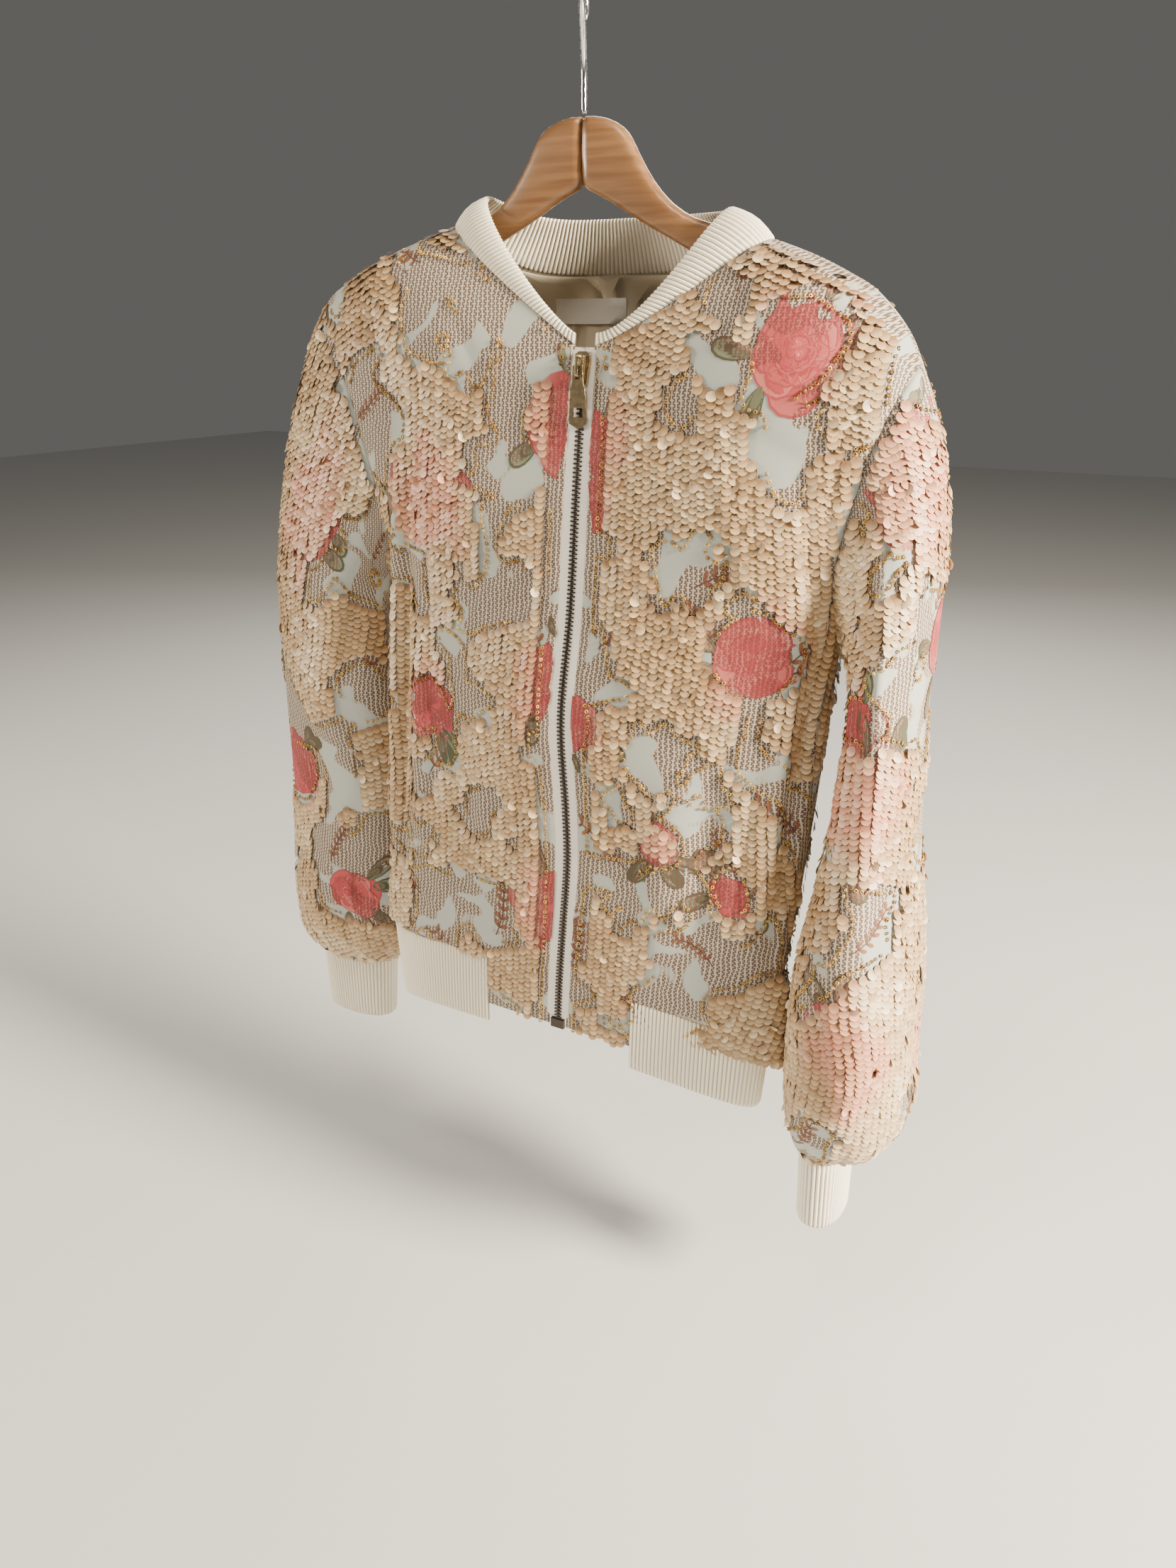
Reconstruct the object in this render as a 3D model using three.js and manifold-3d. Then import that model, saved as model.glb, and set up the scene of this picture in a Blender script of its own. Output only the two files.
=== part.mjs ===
// Bomber jacket on a wooden hanger, zipped up, with knit bands at the neck, hem and cuffs.
// Millimetres. The origin is the seat inside the top of the hanger's hook, +Z is up, the zip
// faces -Y, and +X is the wearer's left. Each cloth piece is a wall worked out from the rows
// of the tables below: a grid of points on the cloth, given its thickness both ways.

import * as THREE from 'three';
import { mergeGeometries, mergeVertices } from 'three/addons/utils/BufferGeometryUtils.js';
import Module from 'manifold-3d';

const wasm = await Module();
wasm.setup();

// Driving sizes
const clothThickness = 2.0;
const tapeThickness = 1.4;
const seamGap = 0.3;
const RIGHT = -1; // the wearer's right, on the -X side
const LEFT = 1;
const FRONT = -1;
const BACK = 1;

// Zip: its centre line down the front, and the half widths of its parts
const zipLine = [
  { z: -684, x: 12, y: -62.5 },
  { z: -640, x: 14.5, y: -63 },
  { z: -598, x: 18, y: -63.5 },
  { z: -548, x: 22, y: -64 },
  { z: -513, x: 20.5, y: -62.5 },
  { z: -448, x: 15.5, y: -59.8 },
  { z: -375, x: 19.5, y: -53.5 },
  { z: -302, x: 21, y: -48 },
  { z: -258, x: 21, y: -42.5 },
  { z: -213, x: 21, y: -36 },
];
const chainHalfWidth = 3.0;
const tapeHalfWidth = 7.0;
const frontTopZ = -213;
const hemTabBottomZ = -682;
const hemTabWidth = 64;

// Body: levels are 0 at the hem band's seam, 1 at the underarm, neckLevel where the neck seam
// starts at the zip and at the centre back, and 2 at the shoulder seam
const neckLevel = 1.5;
const hemSeamZ = -640;
const underarmZ = -378;
const sideSeam = {
  [RIGHT]: [
    { level: 0, x: -150, y: -37, z: -644 },
    { level: 0.3, x: -153, y: -28, z: -566 },
    { level: 0.65, x: -151, y: -14, z: -472 },
    { level: 1, x: -150, y: -6, z: -378 },
  ],
  [LEFT]: [
    { level: 0, x: 166, y: -37, z: -652 },
    { level: 0.3, x: 174, y: -28, z: -572 },
    { level: 0.65, x: 179, y: -14, z: -480 },
    { level: 1, x: 183, y: -4, z: -388 },
  ],
};
const centreBack = [
  { level: 0, x: 8, y: -9, z: -640 },
  { level: 0.35, x: 8, y: 10, z: -548 },
  { level: 0.7, x: 5, y: 25, z: -456 },
  { level: 1, x: 2, y: 34, z: -378 },
  { level: 1.25, x: -3, y: 43, z: -275 },
  { level: 1.5, x: -8, y: 47, z: -170 },
];

// Armholes, from the underarm (level 1) to the shoulder tip (level 2)
const armhole = {
  [RIGHT]: {
    [FRONT]: [
      { level: 1, x: -150, y: -6, z: -378 },
      { level: 1.25, x: -148, y: -29, z: -322 },
      { level: 1.5, x: -163, y: -32, z: -266 },
      { level: 1.75, x: -182, y: -27, z: -217 },
      { level: 1.9, x: -201, y: -14, z: -195 },
      { level: 2, x: -209, y: 0, z: -188 },
    ],
    [BACK]: [
      { level: 1, x: -150, y: -6, z: -378 },
      { level: 1.25, x: -160, y: 22, z: -322 },
      { level: 1.5, x: -174, y: 33, z: -266 },
      { level: 1.75, x: -190, y: 29, z: -217 },
      { level: 1.9, x: -203, y: 18, z: -195 },
      { level: 2, x: -209, y: 0, z: -188 },
    ],
  },
  [LEFT]: {
    [FRONT]: [
      { level: 1, x: 183, y: -4, z: -388 },
      { level: 1.25, x: 185, y: -26, z: -337 },
      { level: 1.5, x: 196, y: -30, z: -288 },
      { level: 1.75, x: 208, y: -24, z: -248 },
      { level: 1.9, x: 215, y: -12, z: -230 },
      { level: 2, x: 217, y: 0, z: -222 },
    ],
    [BACK]: [
      { level: 1, x: 183, y: -4, z: -388 },
      { level: 1.25, x: 189, y: 22, z: -337 },
      { level: 1.5, x: 200, y: 33, z: -288 },
      { level: 1.75, x: 210, y: 28, z: -248 },
      { level: 1.9, x: 216, y: 16, z: -230 },
      { level: 2, x: 217, y: 0, z: -222 },
    ],
  },
};

// How far the cloth stands out between neck and armhole, and how far it hangs over the hem band
const chestBulge = [
  { level: 1, out: 0 },
  { level: 1.25, out: 7 },
  { level: 1.5, out: 10 },
  { level: 1.75, out: 12 },
  { level: 1.9, out: 12 },
  { level: 2, out: 0 },
];
const hemOverhang = [
  { side: RIGHT, face: FRONT, middle: 6, edge: 18 },
  { side: RIGHT, face: BACK, middle: 16, edge: 18 },
  { side: LEFT, face: FRONT, middle: 8, edge: 44 },
  { side: LEFT, face: BACK, middle: 16, edge: 44 },
];
const overhangTopLevel = 0.16; // the cloth rolls over the band below this level
const overhangOut = 0.22; // share of its hang by which the roll stands out
const rollOutPower = 0.6;
const rollDropPower = 1.8;
const rollSideClear = 3.4; // times the seam's clearance, where the roll folds at the side seam
const chestPower = 0.6; // fullness of the chest's bulge near the shoulder
const chestPowerFrom = 1.65;
const sectionPower = 0.85; // roundness of the body's section, 1 for an ellipse

// Drape folds: across is 0 at the centre and 1 at the side, lean moves it across per level
const bodyFolds = [
  { side: RIGHT, face: FRONT, across: 0.5, width: 0.065, from: 0.12, to: 1.2, depth: 4, lean: -0.03 },
  { side: RIGHT, face: FRONT, across: 0.62, width: 0.065, from: 0.05, to: 1.5, depth: -6, lean: -0.04 },
  { side: RIGHT, face: FRONT, across: 0.73, width: 0.065, from: 0.08, to: 1.45, depth: 6, lean: -0.05 },
  { side: RIGHT, face: FRONT, across: 0.84, width: 0.065, from: 0.1, to: 1.3, depth: -6, lean: -0.04 },
  { side: RIGHT, face: FRONT, across: 0.3, width: 0.07, from: 0.1, to: 0.9, depth: -3, lean: 0.05 },
  { side: RIGHT, face: FRONT, across: 0.72, width: 0.08, from: 1.3, to: 1.85, depth: -4, lean: -0.2 },
  { side: LEFT, face: FRONT, across: 0.8, width: 0.065, from: 0.1, to: 1.5, depth: -5, lean: 0.03 },
  { side: LEFT, face: FRONT, across: 0.66, width: 0.07, from: 0.1, to: 1.2, depth: 4, lean: 0.04 },
  { side: LEFT, face: FRONT, across: 0.4, width: 0.07, from: 0.1, to: 0.8, depth: -4, lean: 0.06 },
  { side: LEFT, face: FRONT, across: 0.25, width: 0.065, from: 0.15, to: 0.7, depth: 3, lean: 0.08 },
  { side: LEFT, face: BACK, across: 0.35, width: 0.07, from: 0.1, to: 1.1, depth: -5, lean: 0.05 },
  { side: LEFT, face: BACK, across: 0.55, width: 0.065, from: 0.1, to: 1.3, depth: 5, lean: 0.03 },
  { side: LEFT, face: BACK, across: 0.74, width: 0.065, from: 0.1, to: 1.4, depth: -5, lean: 0.04 },
  { side: RIGHT, face: BACK, across: 0.28, width: 0.07, from: 0.1, to: 0.9, depth: -4, lean: 0.04 },
  { side: RIGHT, face: BACK, across: 0.5, width: 0.065, from: 0.1, to: 1.3, depth: 5, lean: 0.05 },
  { side: RIGHT, face: BACK, across: 0.7, width: 0.065, from: 0.1, to: 1.35, depth: -6, lean: 0.04 },
];

// Neck: the seam where the band joins, and the band's free edge
const neckSeam = {
  front: { y: -36, z: frontTopZ },
  back: { x: -8, y: 47, z: -170 },
  sideY: 1,
  [RIGHT]: { x: -94, rise: 1.0 },
  [LEFT]: { x: 124, rise: 1.3 },
};
const neckEdge = {
  front: { y: -35, z: -206 },
  back: { x: -6, y: 42, z: -137 },
  sideY: 1,
  [RIGHT]: { x: -69, z: -125, rise: 1.2 },
  [LEFT]: { x: 97, z: -138, rise: 1.7 },
};

// Sleeves: sections from the top down; reach is the half size towards the body, depth front to back
const sleeveSections = {
  [RIGHT]: [
    { z: -408, x: -217, y: -4, reach: 54, depth: 34, turn: 12 },
    { z: -455, x: -219, y: -4, reach: 59, depth: 33, turn: 14 },
    { z: -520, x: -219, y: 0, reach: 60, depth: 32, turn: 10 },
    { z: -590, x: -223, y: 4, reach: 61, depth: 35, turn: 8 },
    { z: -645, x: -224, y: 5, reach: 62, depth: 39, turn: 6 },
    { z: -684, x: -224, y: 5, reach: 58, depth: 37, turn: 4 },
    { z: -703, x: -226, y: 4, reach: 46, depth: 28, turn: 2 },
    { z: -712, x: -228, y: 3, reach: 35, depth: 19, turn: 0 },
  ],
  [LEFT]: [
    { z: -412, x: 217, y: 6, reach: 20, depth: 50, turn: 0 },
    { z: -460, x: 218, y: 4, reach: 22, depth: 53, turn: 0 },
    { z: -526, x: 217, y: 0, reach: 27, depth: 57, turn: 0 },
    { z: -595, x: 218, y: -14, reach: 36, depth: 60, turn: 0 },
    { z: -665, x: 219, y: -16, reach: 39, depth: 60, turn: 0 },
    { z: -712, x: 219, y: -12, reach: 38, depth: 55, turn: 0 },
    { z: -736, x: 210, y: -8, reach: 26, depth: 40, turn: 0 },
    { z: -748, x: 204, y: -6, reach: 16, depth: 29, turn: 0 },
  ],
};
const sleeveCapStart = {
  [RIGHT]: new THREE.Vector3(-0.55, 0, -0.84),
  [LEFT]: new THREE.Vector3(0.42, 0, -0.91),
};
const sleeveCapDrop = new THREE.Vector3(0.25, 0, -0.4); // way out at the underarm
const sleeveCapShare = 0.4; // share of the rows above the first section
const sleevePower = 0.9;
const cuffGathers = 9;
const cuffGatherDepth = 2.6;
const cuffGatherHeight = 62;

// Sleeve folds: around is 0 at the inner seam, 0.25 at the front, 0.5 outside and 0.75 behind
const sleeveFolds = [
  { side: RIGHT, around: 0.1, width: 0.05, from: -470, to: -330, depth: -7, lean: 0.1 },
  { side: RIGHT, around: 0.2, width: 0.05, from: -560, to: -430, depth: 5, lean: -0.12 },
  { side: RIGHT, around: 0.3, width: 0.05, from: -640, to: -500, depth: -6, lean: 0.14 },
  { side: RIGHT, around: 0.16, width: 0.05, from: -680, to: -590, depth: -5, lean: 0.1 },
  { side: RIGHT, around: 0.6, width: 0.06, from: -620, to: -440, depth: -6, lean: 0.1 },
  { side: RIGHT, around: 0.8, width: 0.06, from: -560, to: -400, depth: 5, lean: -0.1 },
  { side: LEFT, around: 0.2, width: 0.04, from: -560, to: -300, depth: -5, lean: 0.03 },
  { side: LEFT, around: 0.36, width: 0.06, from: -640, to: -440, depth: -4, lean: 0.1 },
  { side: LEFT, around: 0.3, width: 0.05, from: -700, to: -600, depth: 5, lean: -0.1 },
  { side: LEFT, around: 0.62, width: 0.06, from: -600, to: -400, depth: -6, lean: 0.1 },
  { side: LEFT, around: 0.8, width: 0.06, from: -680, to: -520, depth: 5, lean: -0.1 },
  { side: LEFT, around: 0.5, width: 0.05, from: -690, to: -600, depth: -4, lean: 0.1 },
];

// Cuffs and hem band: the free ends of the knit
const cuffEnd = {
  [RIGHT]: { z: -768, x: -228, y: 1, reach: 32, depth: 16 },
  [LEFT]: { z: -806, x: 205, y: -8, reach: 15, depth: 27 },
};
const hemBandHeight = 56;
const hemBandDrop = 7;
const hemBandPull = 0.965;
const hemTuck = 1.8;
const neckBandRoll = 3;

// Hanger: the rows run from the mitre to the tip of an arm
const armRows = [
  { x: 0, top: -83, bottom: -123 },
  { x: 12, top: -84, bottom: -128 },
  { x: 24, top: -88, bottom: -134 },
  { x: 31, top: -94, bottom: -138 },
  { x: 37, top: -104, bottom: -141 },
  { x: 47, top: -119, bottom: -146 },
  { x: 60, top: -132, bottom: -152 },
  { x: 76, top: -140.5, bottom: -160 },
  { x: 94, top: -145, bottom: -168 },
  { x: 124, top: -155, bottom: -180 },
  { x: 150, top: -163.5, bottom: -190 },
  { x: 172, top: -173, bottom: -197 },
  { x: 187, top: -181.5, bottom: -202 },
  { x: 194, top: -188, bottom: -203 },
];
const armHalfThickness = 5.8;
const armTipX = 194;
const armTipRoundFrom = 182;
const armTilt = 0.02;
const armSectionPower = 0.6;
const seamOverArm = clothThickness / 2 + 1.2;
const hookWire = 1.9;
const hookRadius = 20;
const hookStartAngle = -35;
const hookTipAngle = 205;
const hookTurn = 26;

// Slider, its bail and the pull tab that hangs from it
const chainThickness = 2.4;
const sliderZ = -226;
const chainTopZ = -239;
const stopTopZ = -676;
const stopBottomZ = -684;
const sliderPlateFront = -3;
const crownFront = -5.4;
const bailOpenFront = -8.8;
const bailFront = -10;
const pivotFront = -7.4;
const tabThickness = 1.4;

// Back neck lining and label
const liningThickness = 1.0;
const labelThickness = 0.8;
const looseGap = 0.6;
const labelRightX = -47.5;
const labelLeftX = 7.5;
const labelTopZ = -184.5;
const labelBottomZ = -200.5;
const liningSideRise = 1 / 3;
const liningLowLevel = 1.22;

// Colours of the real pieces
const finish = {
  sequinCloth: { color: 0xdcc3a6, roughness: 0.45, metalness: 0.0 },
  knit: { color: 0xe9e0d1, roughness: 0.85, metalness: 0.0 },
  lining: { color: 0xcdbfae, roughness: 0.6, metalness: 0.0 },
  tape: { color: 0xd9d8d6, roughness: 0.8, metalness: 0.0 },
  label: { color: 0xd8d4cb, roughness: 0.7, metalness: 0.0 },
  darkMetal: { color: 0x3a332e, roughness: 0.4, metalness: 0.9 },
  brightMetal: { color: 0xb8afa2, roughness: 0.25, metalness: 1.0 },
  chrome: { color: 0xc9ccd0, roughness: 0.12, metalness: 1.0 },
  wood: { color: 0x8f5f38, roughness: 0.4, metalness: 0.0 },
};

const jacket = new THREE.Group();

function addPiece(name, geometry, finishName) {
  const mesh = new THREE.Mesh(geometry, new THREE.MeshStandardMaterial(finish[finishName]));
  mesh.name = name;
  jacket.add(mesh);
  return mesh;
}

// Smooth value of a table's column, between rows that rise or fall in the key column
function along(rows, key, column, at) {
  const ordered = rows[0][key] < rows[rows.length - 1][key] ? rows : [...rows].reverse();
  let i = 0;
  while (i < ordered.length - 2 && at > ordered[i + 1][key]) i += 1;
  const slope = (a, b) => (ordered[b][column] - ordered[a][column]) / (ordered[b][key] - ordered[a][key]);
  const low = ordered[i];
  const high = ordered[i + 1];
  const span = high[key] - low[key];
  const u = (at - low[key]) / span;
  const startSlope = slope(Math.max(i - 1, 0), i + 1) * span;
  const endSlope = slope(i, Math.min(i + 2, ordered.length - 1)) * span;
  return low[column] * (1 + 2 * u) * (1 - u) ** 2 + startSlope * u * (1 - u) ** 2
    + high[column] * u * u * (3 - 2 * u) + endSlope * u * u * (u - 1);
}

function pointAlong(rows, key, at) {
  return new THREE.Vector3(...['x', 'y', 'z'].map((column) => {
    return column === key ? at : along(rows, key, column, at);
  }));
}

const mix = (a, b, share) => a + (b - a) * share;
const limit = (value) => Math.min(Math.max(value, 0), 1);
const smooth = (value) => limit(value) ** 2 * (3 - 2 * limit(value));
const bump = (value, centre, width) => Math.exp(-(((value - centre) / width) ** 2));

// Top edge of the hanger's arm, which the shoulder seams lie on
function armTop(x) {
  return along(armRows, 'x', 'top', Math.min(Math.abs(x), armTipX)) - x * armTilt;
}

const shoulderSeam = {
  [RIGHT]: [
    { across: 0, x: -94 },
    { across: 0.25, x: -122 },
    { across: 0.5, x: -150 },
    { across: 0.75, x: -177 },
    { across: 0.9, x: -197, z: -178.5 },
    { across: 1, x: -209, z: -188 },
  ],
  [LEFT]: [
    { across: 0, x: 124 },
    { across: 0.25, x: 150 },
    { across: 0.5, x: 172 },
    { across: 0.7, x: 188, z: -183.5 },
    { across: 0.86, x: 206, z: -202 },
    { across: 1, x: 217, z: -222 },
  ],
};
for (const side of [RIGHT, LEFT]) {
  for (const row of shoulderSeam[side]) {
    row.z = row.z ?? armTop(row.x) + seamOverArm;
    row.y = mix(neckSeam.sideY, 0, row.across);
  }
}

// Point of the neck seam or of the band's free edge: 0 at the zip, a half turn at the back
function neckPoint(ring, side, turn) {
  const half = Math.PI / 2;
  const sideZ = ring[side].z ?? shoulderSeam[side][0].z;
  const reach = Math.sin(turn);
  if (turn <= half) {
    const x = zipLine[zipLine.length - 1].x + side * tapeHalfWidth;
    const forward = 1 - Math.cos(turn);
    return new THREE.Vector3(
      mix(x, ring[side].x, reach),
      mix(ring.front.y, ring.sideY, forward),
      mix(ring.front.z, sideZ, reach ** ring[side].rise),
    );
  }
  const rearward = -Math.cos(turn);
  return new THREE.Vector3(
    mix(ring.back.x, ring[side].x, reach),
    mix(ring.sideY, ring.back.y, rearward),
    mix(sideZ, ring.back.z, smooth(rearward)),
  );
}

// Centre edge of a half panel: the zip's tape or the centre back, then the neck seam
function innerEdge(side, face, level) {
  const neckShare = (level - neckLevel) / (2 - neckLevel);
  if (face === FRONT) {
    if (neckShare > 0) return neckPoint(neckSeam, side, neckShare * Math.PI / 2);
    const chestShare = (level - 1) / (neckLevel - 1);
    const z = level < 1 ? mix(hemSeamZ, underarmZ, level) : mix(underarmZ, frontTopZ, chestShare);
    const point = pointAlong(zipLine, 'z', Math.max(z, zipLine[0].z)).setZ(z);
    point.x += side * tapeHalfWidth;
    return point;
  }
  if (neckShare > 0) return neckPoint(neckSeam, side, Math.PI * (1 - neckShare / 2));
  return pointAlong(centreBack, 'level', Math.max(level, 0)).setZ(along(centreBack, 'level', 'z', level));
}

function outerEdge(side, face, level) {
  if (level <= 1) return tableXYZ(sideSeam[side], Math.max(level, 0));
  return tableXYZ(armhole[side][face], level);
}

function tableXYZ(rows, at, key = 'level') {
  return new THREE.Vector3(along(rows, key, 'x', at), along(rows, key, 'y', at), along(rows, key, 'z', at));
}

// Cloth of half the body, before its folds
function plainBody(side, face, across, level) {
  const inner = innerEdge(side, face, level);
  const outer = outerEdge(side, face, level);
  const flat = smooth((level - 1) / 0.7);
  const quarter = limit(across) * Math.PI / 2;
  const sideways = mix(Math.sin(quarter) ** sectionPower, across, flat);
  const inward = mix(1 - Math.max(Math.cos(quarter), 0) ** sectionPower, across, flat);
  const point = new THREE.Vector3(
    mix(inner.x, outer.x, sideways),
    mix(inner.y, outer.y, inward),
    mix(inner.z, outer.z, level < 0 ? 0 : sideways),
  );
  if (level > 1) {
    const power = mix(1, chestPower, smooth((level - chestPowerFrom) / 0.3));
    point.y += face * along(chestBulge, 'level', 'out', level) * Math.sin(Math.PI * across) ** power;
  }
  if (level > neckLevel) {
    const seam = tableXYZ(shoulderSeam[side], across, 'across');
    const straight = shoulderSeam[side][0];
    const tip = shoulderSeam[side][shoulderSeam[side].length - 1];
    const share = smooth((level - neckLevel) / (2 - neckLevel));
    point.x += (seam.x - mix(straight.x, tip.x, across)) * share;
    point.z += (seam.z - mix(straight.z, tip.z, across)) * share;
  }
  const sag = overhangAt(side, face, across);
  const roll = Math.sin(Math.PI * limit(level / overhangTopLevel));
  const out = sag * overhangOut * roll ** rollOutPower;
  point.z -= sag * roll ** rollDropPower;
  point.x += side * out * sideways;
  point.y += face * out * (1 - sideways * sideways);
  return point;
}

// How far the cloth hangs over the hem band; none beside the zip, where it runs on down
function overhangAt(side, face, across) {
  const overhang = hemOverhang.find((row) => row.side === side && row.face === face);
  const tabShare = face === FRONT ? smooth((across - 0.32) / 0.3) : 1;
  return mix(overhang.middle, overhang.edge, smooth(across)) * tabShare;
}

// Unit normal of a surface given as a function of two shares; sign turns it outwards
function normalOf(surface, u, v, sign, step = 0.004) {
  const du = surface(u + step, v).sub(surface(u - step, v));
  const dv = surface(u, v + step).sub(surface(u, v - step));
  return du.cross(dv).normalize().multiplyScalar(sign);
}

function foldedBody(side, face, across, level) {
  const point = plainBody(side, face, across, level);
  let offset = 0;
  for (const fold of bodyFolds) {
    if (fold.side !== side || fold.face !== face) continue;
    const middle = (fold.from + fold.to) / 2;
    const half = (fold.to - fold.from) / 2;
    const window = Math.cos(Math.PI / 2 * Math.min(Math.abs((level - middle) / half), 1));
    offset += fold.depth * window * bump(across, fold.across + fold.lean * (level - middle), fold.width);
  }
  offset *= smooth(across / 0.12) * smooth((1 - across) / 0.12);
  if (offset === 0) return point;
  const inside = Math.min(Math.max(across, 0.01), 0.99);
  const plain = (u, v) => plainBody(side, face, u, v);
  return point.addScaledVector(normalOf(plain, inside, level, -side * face), offset);
}

// Point of the armhole's ring: 0 at the underarm, 0.25 front, 0.5 shoulder tip, 0.75 back
function armholePoint(side, around) {
  const turn = around - Math.floor(around);
  const face = turn < 0.5 ? FRONT : BACK;
  return outerEdge(side, face, 1 + 2 * (turn < 0.5 ? turn : 1 - turn));
}

// Way the cloth's thickness runs in the armhole seam, shared by body and sleeve
function armholeOutward(side, around) {
  const point = armholePoint(side, around);
  const top = armholePoint(side, 0.5);
  const low = armholePoint(side, 0);
  const centre = new THREE.Vector3(point.x, 0, (top.z + low.z) / 2);
  return point.clone().sub(centre).setX(0).normalize();
}

// Way across the armhole seam, from the body to the sleeve
function armholeAcross(side, around) {
  const run = armholePoint(side, around + 0.004).sub(armholePoint(side, around - 0.004));
  const across = run.cross(armholeOutward(side, around)).normalize();
  return across.x * side < 0 ? across.negate() : across;
}

function sleeveSection(side, around, z) {
  const rows = sleeveSections[side];
  const value = (column) => along(rows, 'z', column, z);
  const angle = around * 2 * Math.PI;
  const soft = (wave) => Math.sign(wave) * Math.abs(wave) ** sleevePower;
  const reach = value('reach') * soft(Math.cos(angle));
  const depth = value('depth') * soft(Math.sin(angle));
  const turn = value('turn') * Math.PI / 180;
  const inward = new THREE.Vector3(-side * Math.cos(turn), -Math.sin(turn), 0);
  const forward = new THREE.Vector3(side * Math.sin(turn), -Math.cos(turn), 0);
  return new THREE.Vector3(value('x'), value('y'), z)
    .addScaledVector(inward, reach)
    .addScaledVector(forward, depth);
}

// Cloth of a sleeve before its folds: down is 0 at the armhole and 1 at the cuff's seam
function plainSleeve(side, around, down) {
  const rows = sleeveSections[side];
  const capZ = rows[0].z;
  const endZ = rows[rows.length - 1].z;
  if (down >= sleeveCapShare) {
    return sleeveSection(side, around, mix(capZ, endZ, (down - sleeveCapShare) / (1 - sleeveCapShare)));
  }
  const share = down / sleeveCapShare;
  const start = armholePoint(side, around);
  const end = sleeveSection(side, around, capZ);
  const reach = start.distanceTo(end) / 3;
  const topShare = Math.sin(Math.PI * (around - Math.floor(around)));
  const leave = sleeveCapDrop.clone().setX(side * sleeveCapDrop.x)
    .addScaledVector(sleeveCapStart[side], topShare)
    .normalize();
  const first = start.clone().addScaledVector(leave, reach);
  const second = end.clone().add(new THREE.Vector3(0, 0, reach));
  return new THREE.CubicBezierCurve3(start, first, second, end).getPoint(share);
}

function foldedSleeve(side, around, down) {
  const point = plainSleeve(side, around, down);
  const rows = sleeveSections[side];
  const turn = around - Math.floor(around);
  let offset = 0;
  for (const fold of sleeveFolds) {
    if (fold.side !== side) continue;
    const middle = (fold.from + fold.to) / 2;
    const half = (fold.to - fold.from) / 2;
    const window = Math.cos(Math.PI / 2 * Math.min(Math.abs((point.z - middle) / half), 1));
    const place = fold.around + fold.lean * (middle - point.z) / (2 * half);
    offset += fold.depth * window * bump(turn, place, fold.width);
  }
  const gather = smooth(1 - (point.z - rows[rows.length - 1].z) / cuffGatherHeight);
  const loose = smooth((point.z - rows[rows.length - 1].z) / 12);
  offset += cuffGatherDepth * gather * loose * Math.sin(2 * Math.PI * cuffGathers * around);
  offset *= smooth(down / 0.15);
  const middleX = along(rows, 'z', 'x', Math.min(point.z, rows[0].z));
  const centre = new THREE.Vector3(middleX, point.y * 0.3, point.z);
  const outward = point.clone().sub(centre).normalize();
  return point.addScaledVector(outward, offset);
}

// Faces of a wall over a grid of cells. Each grid point has a place and a way out; a cell
// edge gets no face where it is joined to the next grid.
function wallFaces(columns, rows, pointAt, options = {}) {
  const { thickness = clothThickness, closed = false, present = () => true, meets = () => false } = options;
  const columnCount = columns.length;
  const positions = [];
  const indices = [];
  for (let layer = 0; layer < 2; layer += 1) {
    for (const v of rows) {
      for (const u of columns) {
        const { point, outward } = pointAt(u, v);
        const offset = layer === 0 ? thickness / 2 : -thickness / 2;
        positions.push(...point.clone().addScaledVector(outward, offset).toArray());
      }
    }
  }
  const layerSize = columnCount * rows.length;
  const index = (layer, i, j) => layer * layerSize + j * columnCount + (i % columnCount);
  const cellColumns = closed ? columnCount : columnCount - 1;
  const filled = (i, j) => {
    if (j < 0 || j >= rows.length - 1) return false;
    if (!closed && (i < 0 || i >= cellColumns)) return false;
    return present((i + cellColumns) % cellColumns, j);
  };
  const edged = (i, j) => !filled(i, j) && !meets(i, j);
  const quad = (a, b, c, d) => indices.push(a, b, c, a, c, d);
  for (let j = 0; j < rows.length - 1; j += 1) {
    for (let i = 0; i < cellColumns; i += 1) {
      if (!filled(i, j)) continue;
      const [a, b, c, d] = [[i, j], [i + 1, j], [i + 1, j + 1], [i, j + 1]];
      quad(index(0, ...a), index(0, ...b), index(0, ...c), index(0, ...d));
      quad(index(1, ...a), index(1, ...d), index(1, ...c), index(1, ...b));
      if (!filled(i, j - 1)) quad(index(0, ...a), index(1, ...a), index(1, ...b), index(0, ...b));
      if (edged(i + 1, j)) quad(index(0, ...b), index(1, ...b), index(1, ...c), index(0, ...c));
      if (!filled(i, j + 1)) quad(index(0, ...c), index(1, ...c), index(1, ...d), index(0, ...d));
      if (edged(i - 1, j)) quad(index(0, ...d), index(1, ...d), index(1, ...a), index(0, ...a));
    }
  }
  const geometry = new THREE.BufferGeometry();
  geometry.setAttribute('position', new THREE.Float32BufferAttribute(positions, 3));
  geometry.setIndex(indices);
  return geometry.toNonIndexed();
}

function wallGeometry(columns, rows, pointAt, options) {
  return closedSolid([wallFaces(columns, rows, pointAt, options)]);
}

// One closed solid from sets of faces that meet at shared corners
function closedSolid(faceSets) {
  return facedOutwards(mergeVertices(mergeGeometries(faceSets), 1e-5));
}

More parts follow.
